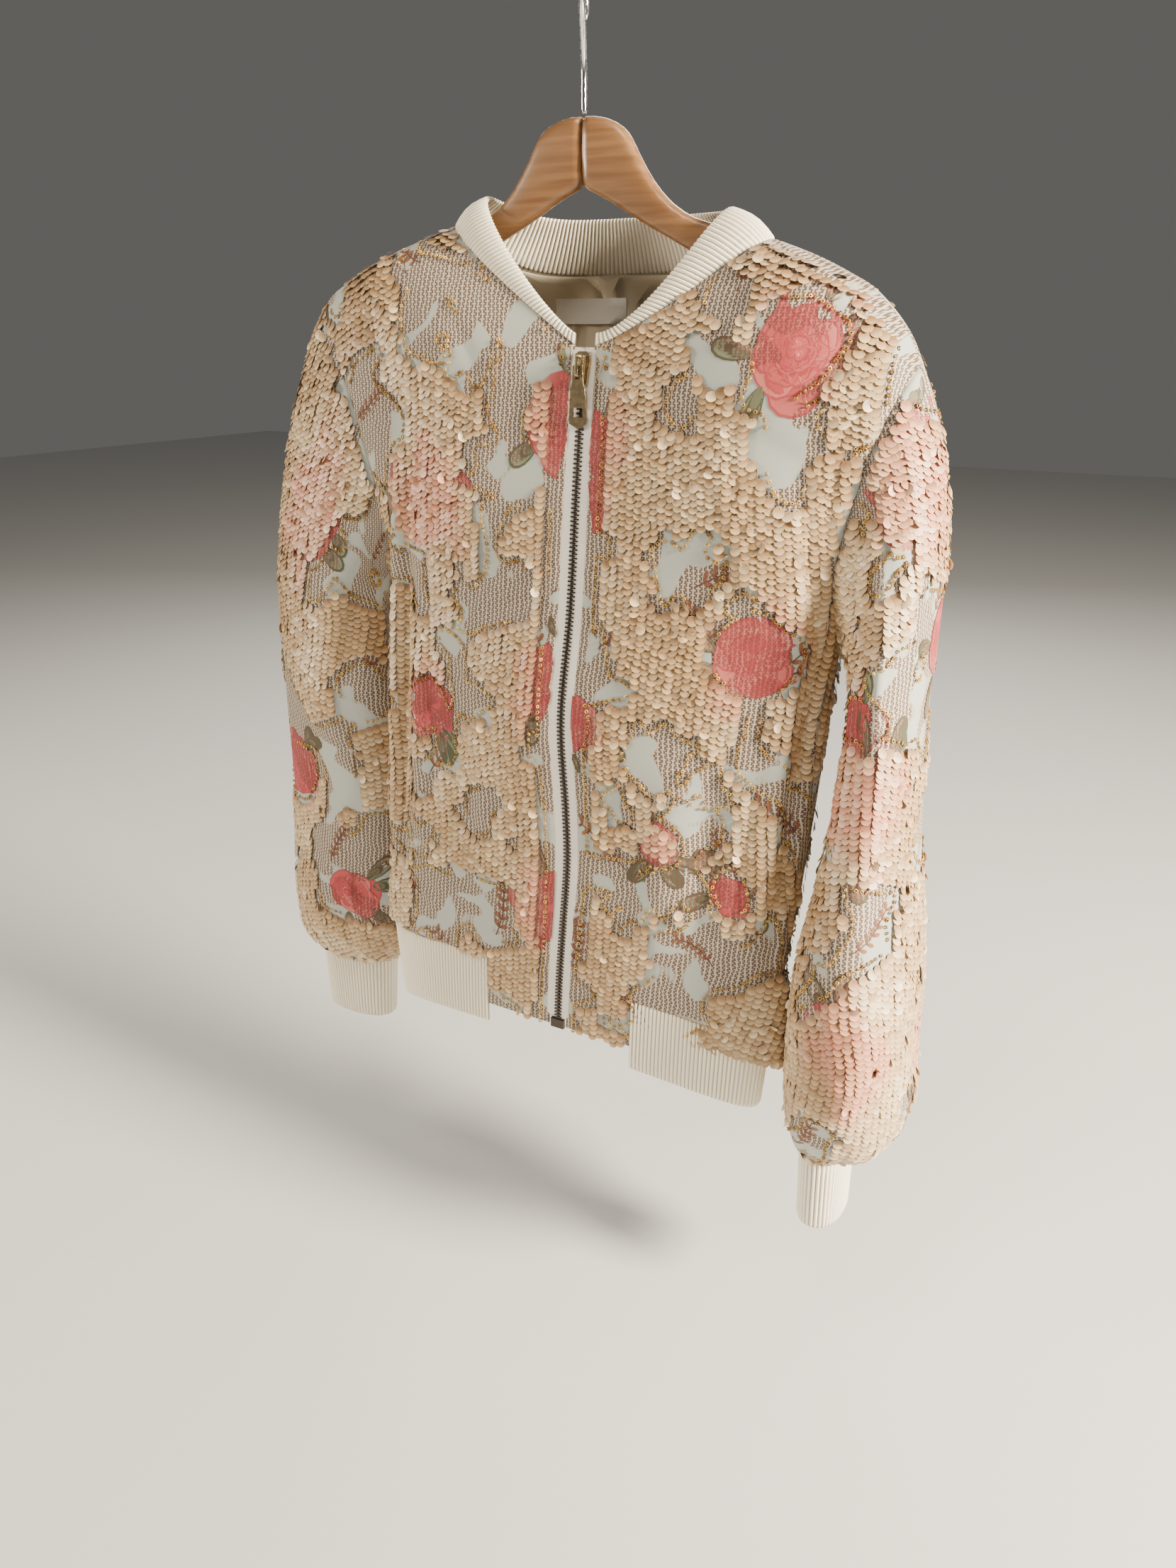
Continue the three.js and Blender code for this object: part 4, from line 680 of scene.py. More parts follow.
def armhole_point(side, around):
    """Points round the armhole, in turns from the underarm up the front and down the back."""
    turn = around - np.floor(around)
    level = 1 + 2 * np.where(turn < 0.5, turn, 1 - turn)
    return np.where((turn < 0.5)[..., None], outer_edge(side, FRONT, level), outer_edge(side, BACK, level))


def soft_wave(wave, power):
    """A sine or cosine made fuller, for rounded tubes."""
    return np.sign(wave) * np.abs(wave) ** power


def sleeve_section(side, around, z):
    """Points round a sleeve below its cap, at a height."""
    rows = sleeve_sections[side]
    angle = around * 2 * math.pi
    reach = along(rows, "z", "reach", z) * soft_wave(np.cos(angle), SLEEVE_POWER)
    depth = along(rows, "z", "depth", z) * soft_wave(np.sin(angle), SLEEVE_POWER)
    turn = np.radians(along(rows, "z", "turn", z))
    x = along(rows, "z", "x", z) - side * np.cos(turn) * reach + side * np.sin(turn) * depth
    y = along(rows, "z", "y", z) - np.sin(turn) * reach - np.cos(turn) * depth
    return xyz(x, y, z)


def plain_sleeve(side, around, down):
    """Cloth of a sleeve before its folds: down is 0 at the armhole and 1 at the cuff's seam."""
    rows = sleeve_sections[side]
    cap_z, end_z = rows["z"][0], rows["z"][-1]
    below_cap = np.clip((down - SLEEVE_CAP_SHARE) / (1 - SLEEVE_CAP_SHARE), 0, 1)
    low = sleeve_section(side, around, mix(cap_z, end_z, below_cap))
    start, end = armhole_point(side, around), sleeve_section(side, around, np.full_like(around, cap_z))
    reach = np.linalg.norm(end - start, axis=-1, keepdims=True) / 3
    top_share = np.sin(math.pi * (around - np.floor(around)))[..., None]
    leave = unit(np.array((side * 0.25, 0, -0.4)) + top_share * np.array(SLEEVE_CAP_START[side]))
    first, second = start + leave * reach, end + np.array((0, 0, 1)) * reach
    t = np.clip(down / SLEEVE_CAP_SHARE, 0, 1)[..., None]
    cap = (1 - t) ** 3 * start + 3 * (1 - t) ** 2 * t * first + 3 * (1 - t) * t * t * second + t ** 3 * end
    return np.where((down >= SLEEVE_CAP_SHARE)[..., None], low, cap)


def sleeve_grid(side, around_steps, down_steps):
    """Points and outward normals of a sleeve with its folds and its gathers above the cuff."""
    around, down = np.meshgrid(around_steps, down_steps)
    points = plain_sleeve(side, around, down)
    rows = sleeve_sections[side]
    z = points[..., 2]
    offset = np.zeros_like(around)
    for place, width, low, high, depth, lean in each_row(sleeve_folds[side], SLEEVE_FOLD_COLUMNS):
        middle, half = (low + high) / 2, (high - low) / 2
        window = np.cos(math.pi / 2 * np.clip(np.abs((z - middle) / half), 0, 1))
        offset += depth * window * bump(around, place + lean * (middle - z) / (2 * half), width)
    gather = smooth(1 - (z - rows["z"][-1]) / CUFF_GATHER_HEIGHT)
    loose = smooth((z - rows["z"][-1]) / 12)
    offset += CUFF_GATHER_DEPTH * gather * loose * np.sin(2 * math.pi * CUFF_GATHERS * around)
    offset += 1.2 * gather * loose * np.sin(2 * math.pi * (CUFF_GATHERS * 2 + 1) * around + 1)
    offset *= smooth(down / 0.15)
    middle_x = along(rows, "z", "x", np.minimum(z, rows["z"][0]))
    out = unit(points - xyz(middle_x, points[..., 1] * 0.3, z))
    points = points + out * offset[..., None]
    wrapped = np.concatenate([points[:, -2:-1], points, points[:, 1:2]], axis=1)
    return points, grid_normals(wrapped, -side)[:, 1:-1]


SLEEVE_COLUMNS = 88
sleeve_around = np.array(steps(0, 1, SLEEVE_COLUMNS))
sleeve_down = np.array(steps(0, SLEEVE_CAP_SHARE, 54) + steps(SLEEVE_CAP_SHARE, 1, 76)[1:])
for side, side_name in two_sides:
    name = f"sleeve_{side_name}"
    points, outward = sleeve_grid(side, sleeve_around, sleeve_down)
    places = cloth_places(points, SLEEVE_COLUMNS // 2, np.zeros(len(sleeve_down)))
    cloths[name] = raster_of(points, outward, places, np.zeros(SLEEVE_COLUMNS + 1, int))
    flat_cuts[name] = flat_size(points)
    corners, faces, layers, flat = wall_arrays(points[:, :-1], outward[:, :-1], places[:, :-1], closed=True)
    piece = mesh_object(f"{name}_cloth", corners, faces, [net_cloth, lining_cloth], layers, flat)
    walls[name] = piece
    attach(piece, JACKET)
    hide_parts(name)

# Sequined patches: clouds and branching shapes covered with sequins, which leave the net bare between
# them. Distances are to a patch's edge on the flat cloth, above zero where sequins are sewn on.

PATCH_SIZE = 46.0
PATCH_LOBES = 21.0
PATCH_THRESHOLD = {"front": 0.415, "back": 0.475, "sleeve": 0.465}
PATCH_STEP = 2.0
ZIP_MARGIN = 17.0
cloth_names = ["front_right", "front_left", "back_right", "back_left", "sleeve_right", "sleeve_left"]


def lattice_noise(u, z, seed, size):
    """Smooth random values from 0 to 1 over the flat cloth."""
    lattice = np.random.default_rng(seed).random((64, 64))
    x, y = u / size + 20, z / size + 40
    i, j = np.floor(x).astype(int), np.floor(y).astype(int)
    s, t = smooth(x - i), smooth(y - j)

    def value(right, up):
        """Value at a corner of the lattice cell."""
        return lattice[(i + right) % 64, (j + up) % 64]

    return mix(mix(value(0, 0), value(1, 0), s), mix(value(0, 1), value(1, 1), s), t)


# Printed flowers: place and radius on the cloth, and whether the sequins leave them bare
flower_rows = {
    "front_right": [(6, -258, 32, 0), (5, -424, 32, 0), (8, -590, 34, 0), (118, -308, 36, 0),
                    (116, -456, 24, 1)],
    "front_left": [(146, -214, 32, 1), (126, -390, 29, 1), (120, -550, 15, 1), (7, -286, 34, 0),
                   (8, -446, 20, 1), (70, -520, 14, 0)],
    "back_right": [(60, -250, 34, 1), (120, -380, 28, 0), (40, -480, 32, 1), (130, -570, 24, 1)],
    "back_left": [(120, -240, 32, 0), (50, -370, 26, 1), (140, -440, 34, 1), (70, -590, 28, 0)],
    "sleeve_right": [(-70, -325, 40, 0), (-40, -540, 30, 1), (30, -430, 26, 1), (80, -600, 32, 0),
                     (-110, -640, 22, 1)],
    "sleeve_left": [(-32, -280, 42, 0), (-72, -428, 22, 1), (-60, -474, 38, 0), (-70, -632, 34, 0),
                    (20, -380, 30, 1), (75, -520, 32, 1), (30, -650, 26, 0)],
}
flowers = {name: table("u z radius bare", *rows) for name, rows in flower_rows.items()}
# Bare clouds: place and radius on the cloth where the sequins are left off the fronts
cloud_rows = {
    "front_right": [(119, -200, 28), (88, -216, 24), (66, -290, 22), (74, -380, 24), (72, -446, 17),
                    (102, -472, 13), (72, -522, 19), (134, -556, 17), (44, -350, 9)],
    "front_left": [(83, -341, 26), (74, -246, 15), (96, -220, 18), (150, -262, 22), (70, -462, 24),
                   (40, -498, 15), (102, -478, 17), (165, -486, 14), (120, -542, 16), (50, -562, 26),
                   (106, -602, 18), (118, -360, 13)],
}
patches = {}
for number, name in enumerate(cloth_names):
    rows = cloths[name]["rows"]
    heights = cloths[name]["heights"]
    us = np.arange(np.nanmin(rows[..., 6]) - 4, np.nanmax(rows[..., 6]) + 4, PATCH_STEP)
    zs = np.arange(heights[0] - 4, heights[-1] + 4, PATCH_STEP)
    u, z = np.meshgrid(us, zs)
    seed, across = (2, -u) if name == "back_left" else (number, u)
    warp = 16 * (lattice_noise(across, z, 90 + seed, 40) - 0.5)
    threshold = PATCH_THRESHOLD[name.split("_")[0]]
    field = 0.66 * lattice_noise(across + warp, z, 10 + seed, PATCH_SIZE)
    field += 0.34 * lattice_noise(across, z + warp, 50 + seed, PATCH_LOBES) - threshold
    slope = np.linalg.norm(np.stack(np.gradient(field, PATCH_STEP)), axis=0)
    distance = np.clip(field / np.maximum(slope, 0.002), -25, 25)
    for fu, fz, radius, bare in each_row(flowers[name], "u z radius bare"):
        away = np.hypot(u - fu, z - fz) - radius * (0.78 + 0.4 * lattice_noise(u, z, 7, 16))
        distance = np.minimum(distance, away) if bare else np.maximum(distance, -away * 0.8)
    for cu, cz, radius in cloud_rows.get(name, ()):
        away = np.hypot(u - cu, z - cz) - radius * (0.55 + 0.9 * lattice_noise(u, z, 9, 11))
        distance = np.minimum(distance, away)
    if name.startswith("front"):
        distance = np.minimum(distance, u - ZIP_MARGIN - 5 * lattice_noise(u * 0, z, 3, 40))
    patches[name] = {"us": us, "zs": zs, "distance": distance}


def on_raster(name, u, z):
    """Distance into a sequined patch at places on the cloth."""
    held = patches[name]
    x = np.clip((u - held["us"][0]) / PATCH_STEP, 0, len(held["us"]) - 1.001)
    y = np.clip((z - held["zs"][0]) / PATCH_STEP, 0, len(held["zs"]) - 1.001)
    i, j = x.astype(int), y.astype(int)
    grid = held["distance"]
    top = mix(grid[j + 1, i], grid[j + 1, i + 1], x - i)
    return mix(mix(grid[j, i], grid[j, i + 1], x - i), top, y - j)


# Print on the net: rose-like flowers in coral red, olive leaves and brown sprigs, printed on the threads,
# so that the gaps of the net stay darker. Under the sequins their colour shows fainter.

printed, tree, shader = new_material("print on net", Roughness=0.72)
ink = node(tree, "ShaderNodeVertexColor", layer_name="ink").outputs["Color"]
in_gap = tinted(tree, 0.72, ink, (0.12, 0.035, 0.03, 1))
tree.links.new(tinted(tree, net_nodes(tree)["Thread"], in_gap, ink), shader.inputs["Base Color"])


def petal(across, long, turn, count=14):
    """Outline of a petal or leaf, from its base at the origin outwards."""
    angle = np.linspace(0, 2 * math.pi, count, endpoint=False)
    x = across * np.sin(angle) * (1 - 0.25 * np.cos(angle))
    y = long * (1 - np.cos(angle)) / 2
    return np.stack([x * np.cos(turn) - y * np.sin(turn), x * np.sin(turn) + y * np.cos(turn)], 1)


def print_shapes(name, rng):
    """Flat shapes of a cloth's print: each an outline, its heart and the inks of heart and rim."""
    shapes = []
    deep, coral, pink = np.array([(0.32, 0.025, 0.035), (0.47, 0.075, 0.08), (0.58, 0.18, 0.165)])
    olive, sage = np.array([(0.07, 0.08, 0.04), (0.22, 0.23, 0.15)])
    for u, z, radius in each_row(flowers[name], "u z radius"):
        centre = np.array((u, z))
        for k in range(5):
            turn = rng.uniform(0, 2 * math.pi)
            base = centre + radius * 0.85 * np.array((-math.sin(turn), math.cos(turn)))
            turn += rng.uniform(-0.6, 0.6)
            long = rng.uniform(20, 30)
            shapes.append((petal(6.2, long, turn) + base, base, olive, olive))
            shapes.append((petal(4.9, long - 2, turn) + base, base, olive, sage))
        for count, reach, wide in ((6, 1.0, 0.5), (5, 0.78, 0.46), (4, 0.55, 0.4), (3, 0.34, 0.28)):
            first = rng.uniform(0, 2 * math.pi)
            for k in range(count):
                turn = first + 2 * math.pi * k / count + rng.uniform(-0.2, 0.2)
                long = radius * reach * rng.uniform(0.76, 1.14)
                across = radius * wide * rng.uniform(0.8, 1.15)
                rim_ink = mix(coral, pink, rng.uniform(-0.3, 1.0) * (0.4 + 0.6 * reach))
                border = petal(across * 1.07, long * 1.04, turn) + centre
                inner = petal(across, long, turn) + centre
                shapes.append((border, centre, deep, mix(deep, coral, 0.55)))
                shapes.append((inner, centre, mix(deep, coral, 0.6), rim_ink))
    return shapes


def sprig_shapes(name, rng, count):
    """Brown sprigs on the bare net: a curved stem with small leaves on both sides, in the same form."""
    shapes = []
    us, zs = patches[name]["us"], patches[name]["zs"]
    brown, rust = np.array([(0.12, 0.05, 0.025), (0.30, 0.13, 0.06)])
    u, z = rng.uniform(us[0], us[-1], 900), rng.uniform(zs[0], zs[-1], 900)
    bare = np.nonzero(on_raster(name, u, z) < -7)[0][:count]
    for at in np.stack([u[bare], z[bare]], 1):
        heading, bend, size = rng.uniform(-1.4, 1.4), rng.uniform(-0.8, 0.8), rng.uniform(0.8, 1.25)
        for k in range(6):
            turn = heading + bend * k / 6
            way = np.array((-math.sin(turn), math.cos(turn)))
            beside = np.array((way[1], -way[0])) * 0.4
            following = at + way * 6.0 * size
            stem = np.array([at - beside, at + beside, following + beside, following - beside])
            shapes.append((stem, (at + following) / 2, brown, brown))
            for hand in (-1, 1):
                long = rng.uniform(5.0, 7.5) * size
                leaf = petal(1.35 * size, long, turn + hand * rng.uniform(0.7, 1.1), 8)
                shapes.append((leaf + following, following, brown, rust))
            at = following
    return shapes


def add_values(mesh, name, kind, values):
    """A value for every corner of a mesh, from an array."""
    attribute = mesh.attributes.new(name, kind, "POINT")
    column = {"FLOAT": "value", "FLOAT_COLOR": "color", "FLOAT_VECTOR": "vector"}[kind]
    attribute.data.foreach_set(column, np.asarray(values, np.float32).ravel())


def fan_faces(count):
    """Triangles of a flat shape: its heart, a ring halfway and its outline, each of that many corners."""
    k = np.arange(count)
    after = (k + 1) % count
    return np.concatenate([np.stack([k * 0, 1 + k, 1 + after], 1),
                           np.stack([1 + k, 1 + count + k, 1 + count + after], 1),
                           np.stack([1 + k, 1 + count + after, 1 + after], 1)])


def facing_out(points, faces, outward):
    """The triangles, turned so that they face the same way as the cloth."""
    a, b, c = (points[faces[:, k]] for k in range(3))
    wrong = np.sum(np.cross(b - a, c - a) * outward[faces[:, 0]], axis=1) < 0
    return np.where(wrong[:, None], faces[:, ::-1], faces)


PRINT_LIFT = CLOTH_THICKNESS / 2 + 0.12
UNDER_SEQUINS = (0.60, 0.33, 0.22)
wall_of = {name: "back" if "back" in name else name for name in cloth_names}
sewn_on = {name: [] for name in walls}
for number, name in enumerate(cloth_names):
    rng = np.random.default_rng(200 + number)
    corner_sets, face_sets, inks, flats, count = [], [], [], [], 0
    shapes = sprig_shapes(name, rng, 16) + print_shapes(name, rng)
    for order, (outline, heart, heart_ink, rim_ink) in enumerate(shapes):
        flat = np.concatenate([[heart], (outline + heart) / 2, outline])
        points, outward, on_cloth = lay(cloths[name], flat[:, 0], flat[:, 1], (1.0, 1.0))
        points = points + outward * (PRINT_LIFT + 0.35 * order / len(shapes))
        faces = fan_faces(len(outline))
        faces = facing_out(points, faces[on_cloth[faces].all(axis=1)], outward)
        half_ink = mix(heart_ink, rim_ink, 0.5)
        corner_sets.append(points)
        face_sets.append(faces + count)
        inks += [heart_ink] + [half_ink] * len(outline) + [rim_ink] * len(outline)
        flats.append(flat)
        count += len(points)
    flat = np.concatenate(flats)
    piece = mesh_object(f"print_{name}", np.concatenate(corner_sets), np.concatenate(face_sets), [printed],
                        places=flat, closed=False)
    under = smooth((on_raster(name, flat[:, 0], flat[:, 1]) + 1) / 4)[:, None]
    inks = mix(np.array(inks), np.array(UNDER_SEQUINS), 0.8 * under)
    add_values(piece.data, "ink", "FLOAT_COLOR", np.concatenate([inks, np.ones((len(inks), 1))], axis=1))
    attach(piece, JACKET)
    sewn_on[wall_of[name]].append(piece)

# Sequins: flat matte discs of clear champagne plastic, 7 mm across, each stitched down by a hole near
# its upper edge. They hang in upright rows and overlap like scales; some are turned or flipped.

SEQUIN_RADIUS = 3.5
SEQUIN_COLUMN_PITCH = 5.5
SEQUIN_ROW_PITCH = 4.0
SEQUIN_LEAN = 15
SEQUIN_LIFT = 1.35
SEQUIN_EDGE = 1.8
SEAM_MARGIN = 3.2
seam_margins = {name: (0.5 if "back" in name else SEAM_MARGIN, SEAM_MARGIN) for name in cloth_names}

sequin_plastic, tree, shader = new_material("champagne sequins", Roughness=0.4, Specular_IOR_Level=0.4,
                                            Coat_Weight=0.1, Coat_Roughness=0.3)
tint = node(tree, "ShaderNodeAttribute", attribute_name="tint").outputs["Fac"]
blush = node(tree, "ShaderNodeAttribute", attribute_name="blush").outputs["Fac"]
on_disc = node(tree, "ShaderNodeAttribute", attribute_name="on_disc").outputs["Vector"]
champagne = node(tree, "ShaderNodeValToRGB", {"Fac": tint})
ramp = champagne.color_ramp.elements
ramp[0].color, ramp[1].color = (0.44, 0.29, 0.15, 1), (0.90, 0.76, 0.53, 1)
ramp.new(0.5).color = (0.62, 0.445, 0.265, 1)
pink = tinted(tree, blush, champagne.outputs[0], (0.80, 0.32, 0.24, 1))
# Painted shade of the overlap: each disc is darker towards its upper part, which lies under the sequin above.
painted_overlap_shade = tinted(tree, 1.0, pink, (0.42, 0.31, 0.21, 1), blend_type="MULTIPLY")
up_disc = node(tree, "ShaderNodeSeparateXYZ", {0: on_disc}).outputs["Y"]
painted_shade_share = node(tree, "ShaderNodeMapRange", {"Value": up_disc, "From Min": -0.75, "From Max": 0.25,
                                            "To Max": 0.75}).outputs[0]
from_hole = {0: on_disc, 1: (0.0, 0.62, 0.0)}
hole_away = node(tree, "ShaderNodeVectorMath", from_hole, operation="DISTANCE").outputs["Value"]
in_hole = sums(tree, "LESS_THAN", hole_away, 0.13)
hole_and_painted_shade = tinted(tree, in_hole, tinted(tree, painted_shade_share, pink, painted_overlap_shade), (0.20, 0.11, 0.07, 1))
tree.links.new(hole_and_painted_shade, shader.inputs["Base Color"])


def small_shape(name, corners, faces, on_disc=None):
    """A small mesh that is repeated, in millimetres, not shown by itself."""
    mesh = bpy.data.meshes.new(name)
    mesh.from_pydata([tuple(np.array(c) / 1000) for c in corners], [], faces)
    if on_disc is not None:
        add_values(mesh, "on_disc", "FLOAT_VECTOR", on_disc)
    return bpy.data.objects.new(name, mesh)


def sequin_shape():
    """One sequin: a flat ten-sided disc, a little thicker in its middle."""
    rim = [(math.sin(a), math.cos(a)) for a in np.linspace(0, 2 * math.pi, 11)[:-1]]
    corners = [(0, 0, 0.14), (0, 0, -0.06)] + [(SEQUIN_RADIUS * x, SEQUIN_RADIUS * y, 0) for x, y in rim]
    n = len(rim)
    faces = [(0, 2 + (k + 1) % n, 2 + k) for k in range(n)] + [(1, 2 + k, 2 + (k + 1) % n) for k in range(n)]
    return small_shape("one_sequin", corners, faces, [(0, 0, 0), (0, 0, 0)] + [(x, y, 0) for x, y in rim])


def stored(tree, name, kind):
    """Values that are kept on a mesh under a name."""
    return node(tree, "GeometryNodeInputNamedAttribute", {"Name": name}, data_type=kind).outputs["Attribute"]


def end_tree(tree, geometry, material, output):
    """Ends a Geometry Nodes tree: instances become real mesh and get their material."""
    real = node(tree, "GeometryNodeRealizeInstances", {"Geometry": geometry})
    dressed = node(tree, "GeometryNodeSetMaterial", {"Geometry": real.outputs[0], "Material": material})
    node(tree, "NodeGroupOutput", {output: dressed.outputs[0]})


scatter, given = node_tree("GeometryNodeTree", "set shapes on points",
                           {"Points": "Geometry", "Shape": "Object", "Size": "Float", "Material": "Material"},
                           {"Pieces": "Geometry"})
shape = node(scatter, "GeometryNodeObjectInfo", {"Object": given["Shape"]})
spin = node(scatter, "FunctionNodeEulerToRotation", {0: stored(scatter, "turn", "FLOAT_VECTOR")})
placed = node(scatter, "GeometryNodeInstanceOnPoints", {
    "Points": given["Points"], "Instance": shape.outputs["Geometry"], "Rotation": spin.outputs[0],
    "Scale": sums(scatter, "MULTIPLY", stored(scatter, "size", "FLOAT"), given["Size"]),
})
end_tree(scatter, placed.outputs[0], given["Material"], "Pieces")


def worked(piece, tree, values, spent):
    """Gives the piece what a Geometry Nodes tree makes of it, as a plain mesh without the spent values."""
    modifier = piece.modifiers.new(tree.name, "NODES")
    modifier.node_group = tree
    for item in tree.interface.items_tree:
        if item.item_type == "SOCKET" and item.in_out == "INPUT" and item.name in values:
            modifier[item.identifier] = values[item.name]
    bpy.context.view_layer.update()
    graph = bpy.context.evaluated_depsgraph_get()
    mesh = bpy.data.meshes.new_from_object(piece.evaluated_get(graph), preserve_all_data_layers=True,
                                           depsgraph=graph)
    piece.modifiers.clear()
    piece.data = mesh
    for name in spent:
        if name in mesh.attributes:
            mesh.attributes.remove(mesh.attributes[name])


def euler_of(right, up, out):
    """Euler angles, in radians, of frames given by their three axes."""
    y = -np.arcsin(np.clip(right[:, 2], -1, 1))
    x = np.arctan2(up[:, 2], out[:, 2])
    z = np.arctan2(right[:, 1], right[:, 0])
    return np.stack([x, y, z], 1)


def scattered(name, places, turns, sizes, shape, material, values=None):
    """One mesh of a shape repeated at places given in millimetres."""
    mesh = bpy.data.meshes.new(name)
    mesh.from_pydata((places / 1000).tolist(), [], [])
    add_values(mesh, "turn", "FLOAT_VECTOR", turns)
    add_values(mesh, "size", "FLOAT", sizes)
    for key, value in (values or {}).items():
        add_values(mesh, key, "FLOAT", value)
    piece = bpy.data.objects.new(name, mesh)
    bpy.context.scene.collection.objects.link(piece)
    worked(piece, scatter, {"Shape": shape, "Size": 1.0, "Material": material}, ("turn", "size"))
    return piece


def hanging_frames(outward, lean, yaw, roll):
    """Axes of flat pieces that hang on the cloth: leaning out at the bottom, turned by yaw and roll."""
    up = unit(np.array((0, 0, 1.0)) - outward * outward[:, 2:3])
    right = np.cross(up, outward)
    cos, sin = np.cos(roll)[:, None], np.sin(roll)[:, None]
    up, right = up * cos + right * sin, right * cos - up * sin
    cos, sin = np.cos(lean)[:, None], np.sin(lean)[:, None]
    up, out = up * cos - outward * sin, outward * cos + up * sin
    cos, sin = np.cos(yaw)[:, None], np.sin(yaw)[:, None]
    return right * cos - out * sin, up, out * cos + right * sin


one_sequin = sequin_shape()
for number, name in enumerate(cloth_names):
    rng = np.random.default_rng(300 + number)
    held = patches[name]
    first = SEQUIN_COLUMN_PITCH / 2 if "back" in name else held["us"][0]
    us = np.arange(first, held["us"][-1], SEQUIN_COLUMN_PITCH)
    zs = np.arange(held["zs"][-1], held["zs"][0], -SEQUIN_ROW_PITCH)
    u, z = np.meshgrid(us, zs)
    z = z - (np.arange(len(us)) % 2) * SEQUIN_ROW_PITCH / 2
    lift = 0.25 * (np.arange(len(us)) % 2) + np.zeros_like(z)
    u, z, lift = u.ravel(), z.ravel(), lift.ravel()
    u, z = u + rng.normal(0, 0.25, len(u)), z + rng.normal(0, 0.3, len(z))
    keep = on_raster(name, u, z) > SEQUIN_EDGE
    u, z, lift = u[keep], z[keep], lift[keep]
    points, outward, on_cloth = lay(cloths[name], u, z, seam_margins[name])
    u, z, lift, points, outward = (values[on_cloth] for values in (u, z, lift, points, outward))
    n = len(u)
    loose = rng.random(n) < 0.04 + 0.10 * (lattice_noise(u, z, 33, 35) > 0.66)
    lean = np.radians(SEQUIN_LEAN + rng.normal(0, 4.5, n) + loose * rng.uniform(-20, 28, n))
    yaw = np.radians(rng.normal(0, 6, n) + loose * rng.normal(0, 16, n))
    roll = np.radians(rng.normal(0, 5, n) + loose * rng.normal(0, 25, n))
    right, up, out = hanging_frames(outward, lean, yaw, roll)
    places = points + outward * (CLOTH_THICKNESS / 2 + SEQUIN_LIFT + lift + 0.8 * loose)[:, None]
    tints = 0.52 + 0.5 * (lattice_noise(u, z, 21, 30) - 0.5) + rng.normal(0, 0.10, n) + 0.3 * loose
    blushes = np.zeros(n)
    for fu, fz, radius in each_row(flowers[name], "u z radius"):
        away = np.hypot((u - fu) / 0.95, (z - fz) / 1.3) / radius + 0.7 * (lattice_noise(u, z, 13, 17) - 0.5)
        blushes = np.maximum(blushes, smooth((1.2 - away) / 0.7) * rng.uniform(0.4, 0.8, n))
    sequins = scattered(f"sequins_{name}", places, euler_of(right, up, out), rng.uniform(0.95, 1.04, n),
                        one_sequin, sequin_plastic, {"tint": np.clip(tints, 0, 1), "blush": blushes})
    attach(sequins, JACKET)
    sewn_on[wall_of[name]].append(sequins)

# Chains of tiny rings: bronze ring sequins, about 2 mm across and shown as 3 mm, sewn down in single file
# along the edges of the patches, on the bare net. Each tilts its own way, so that the chains glitter, and
# each has a painted glint: its colour runs from dark bronze to bright gold.

RING_PITCH = 2.75
RING_AWAY = -3.8
RING_LIFT = 0.75
RING_OUTLINE = ((1.5, 0.0), (1.0, 0.55), (0.45, 0.0))
bronze, tree, shader = new_material("bronze rings", Metallic=0.35, Roughness=0.3)
# Painted glint: each ring's value named tint runs its colour from dark bronze to bright gold.
painted_glint = node(tree, "ShaderNodeAttribute", attribute_name="tint").outputs["Fac"]
tree.links.new(tinted(tree, painted_glint, (0.28, 0.14, 0.03, 1), (0.98, 0.66, 0.18, 1)), shader.inputs["Base Color"])


def ring_shape():
    """One ring: seven-sided, with a raised middle line."""
    corners, faces = [], []
    count = 7
    for k in range(count):
        angle = 2 * math.pi * k / count
        for radius, z in RING_OUTLINE:
            corners.append((radius * math.cos(angle), radius * math.sin(angle), z))
    for k in range(count):
        a, b = 3 * k, 3 * ((k + 1) % count)
        for m in range(3):
            faces.append((a + m, b + m, b + (m + 1) % 3, a + (m + 1) % 3))
    return small_shape("one_ring", corners, faces)


def contour_points(name, level):
    """Places along the line where the distance has that level, evenly spread."""
    held = patches[name]
    grid, us, zs = held["distance"] - level, held["us"], held["zs"]
    found = []
    for step_j, step_i in ((0, 1), (1, 0)):
        a = grid[: grid.shape[0] - step_j, : grid.shape[1] - step_i]
        b = grid[step_j:, step_i:]
        j, i = np.nonzero((a > 0) != (b > 0))
        share = a[j, i] / (a[j, i] - b[j, i])
        along_u, along_z = PATCH_STEP * share * step_i, PATCH_STEP * share * step_j
        found.append(np.stack([us[i] + along_u, zs[j] + along_z], 1))
    found = np.concatenate(found)
    found = found[np.lexsort((found[:, 0] // 3, found[:, 1] // 3))]
    taken, kept = {}, []
    for u, z in found:
        column, row = int(u // RING_PITCH), int(z // RING_PITCH)
        cells = [(column + a, row + b) for a in (-1, 0, 1) for b in (-1, 0, 1)]
        near = [taken[cell] for cell in cells if cell in taken]
        if all(math.hypot(u - x, z - y) >= RING_PITCH - 0.25 for x, y in near):
            taken[column, row] = (u, z)
            kept.append((u, z))
    return np.array(kept)


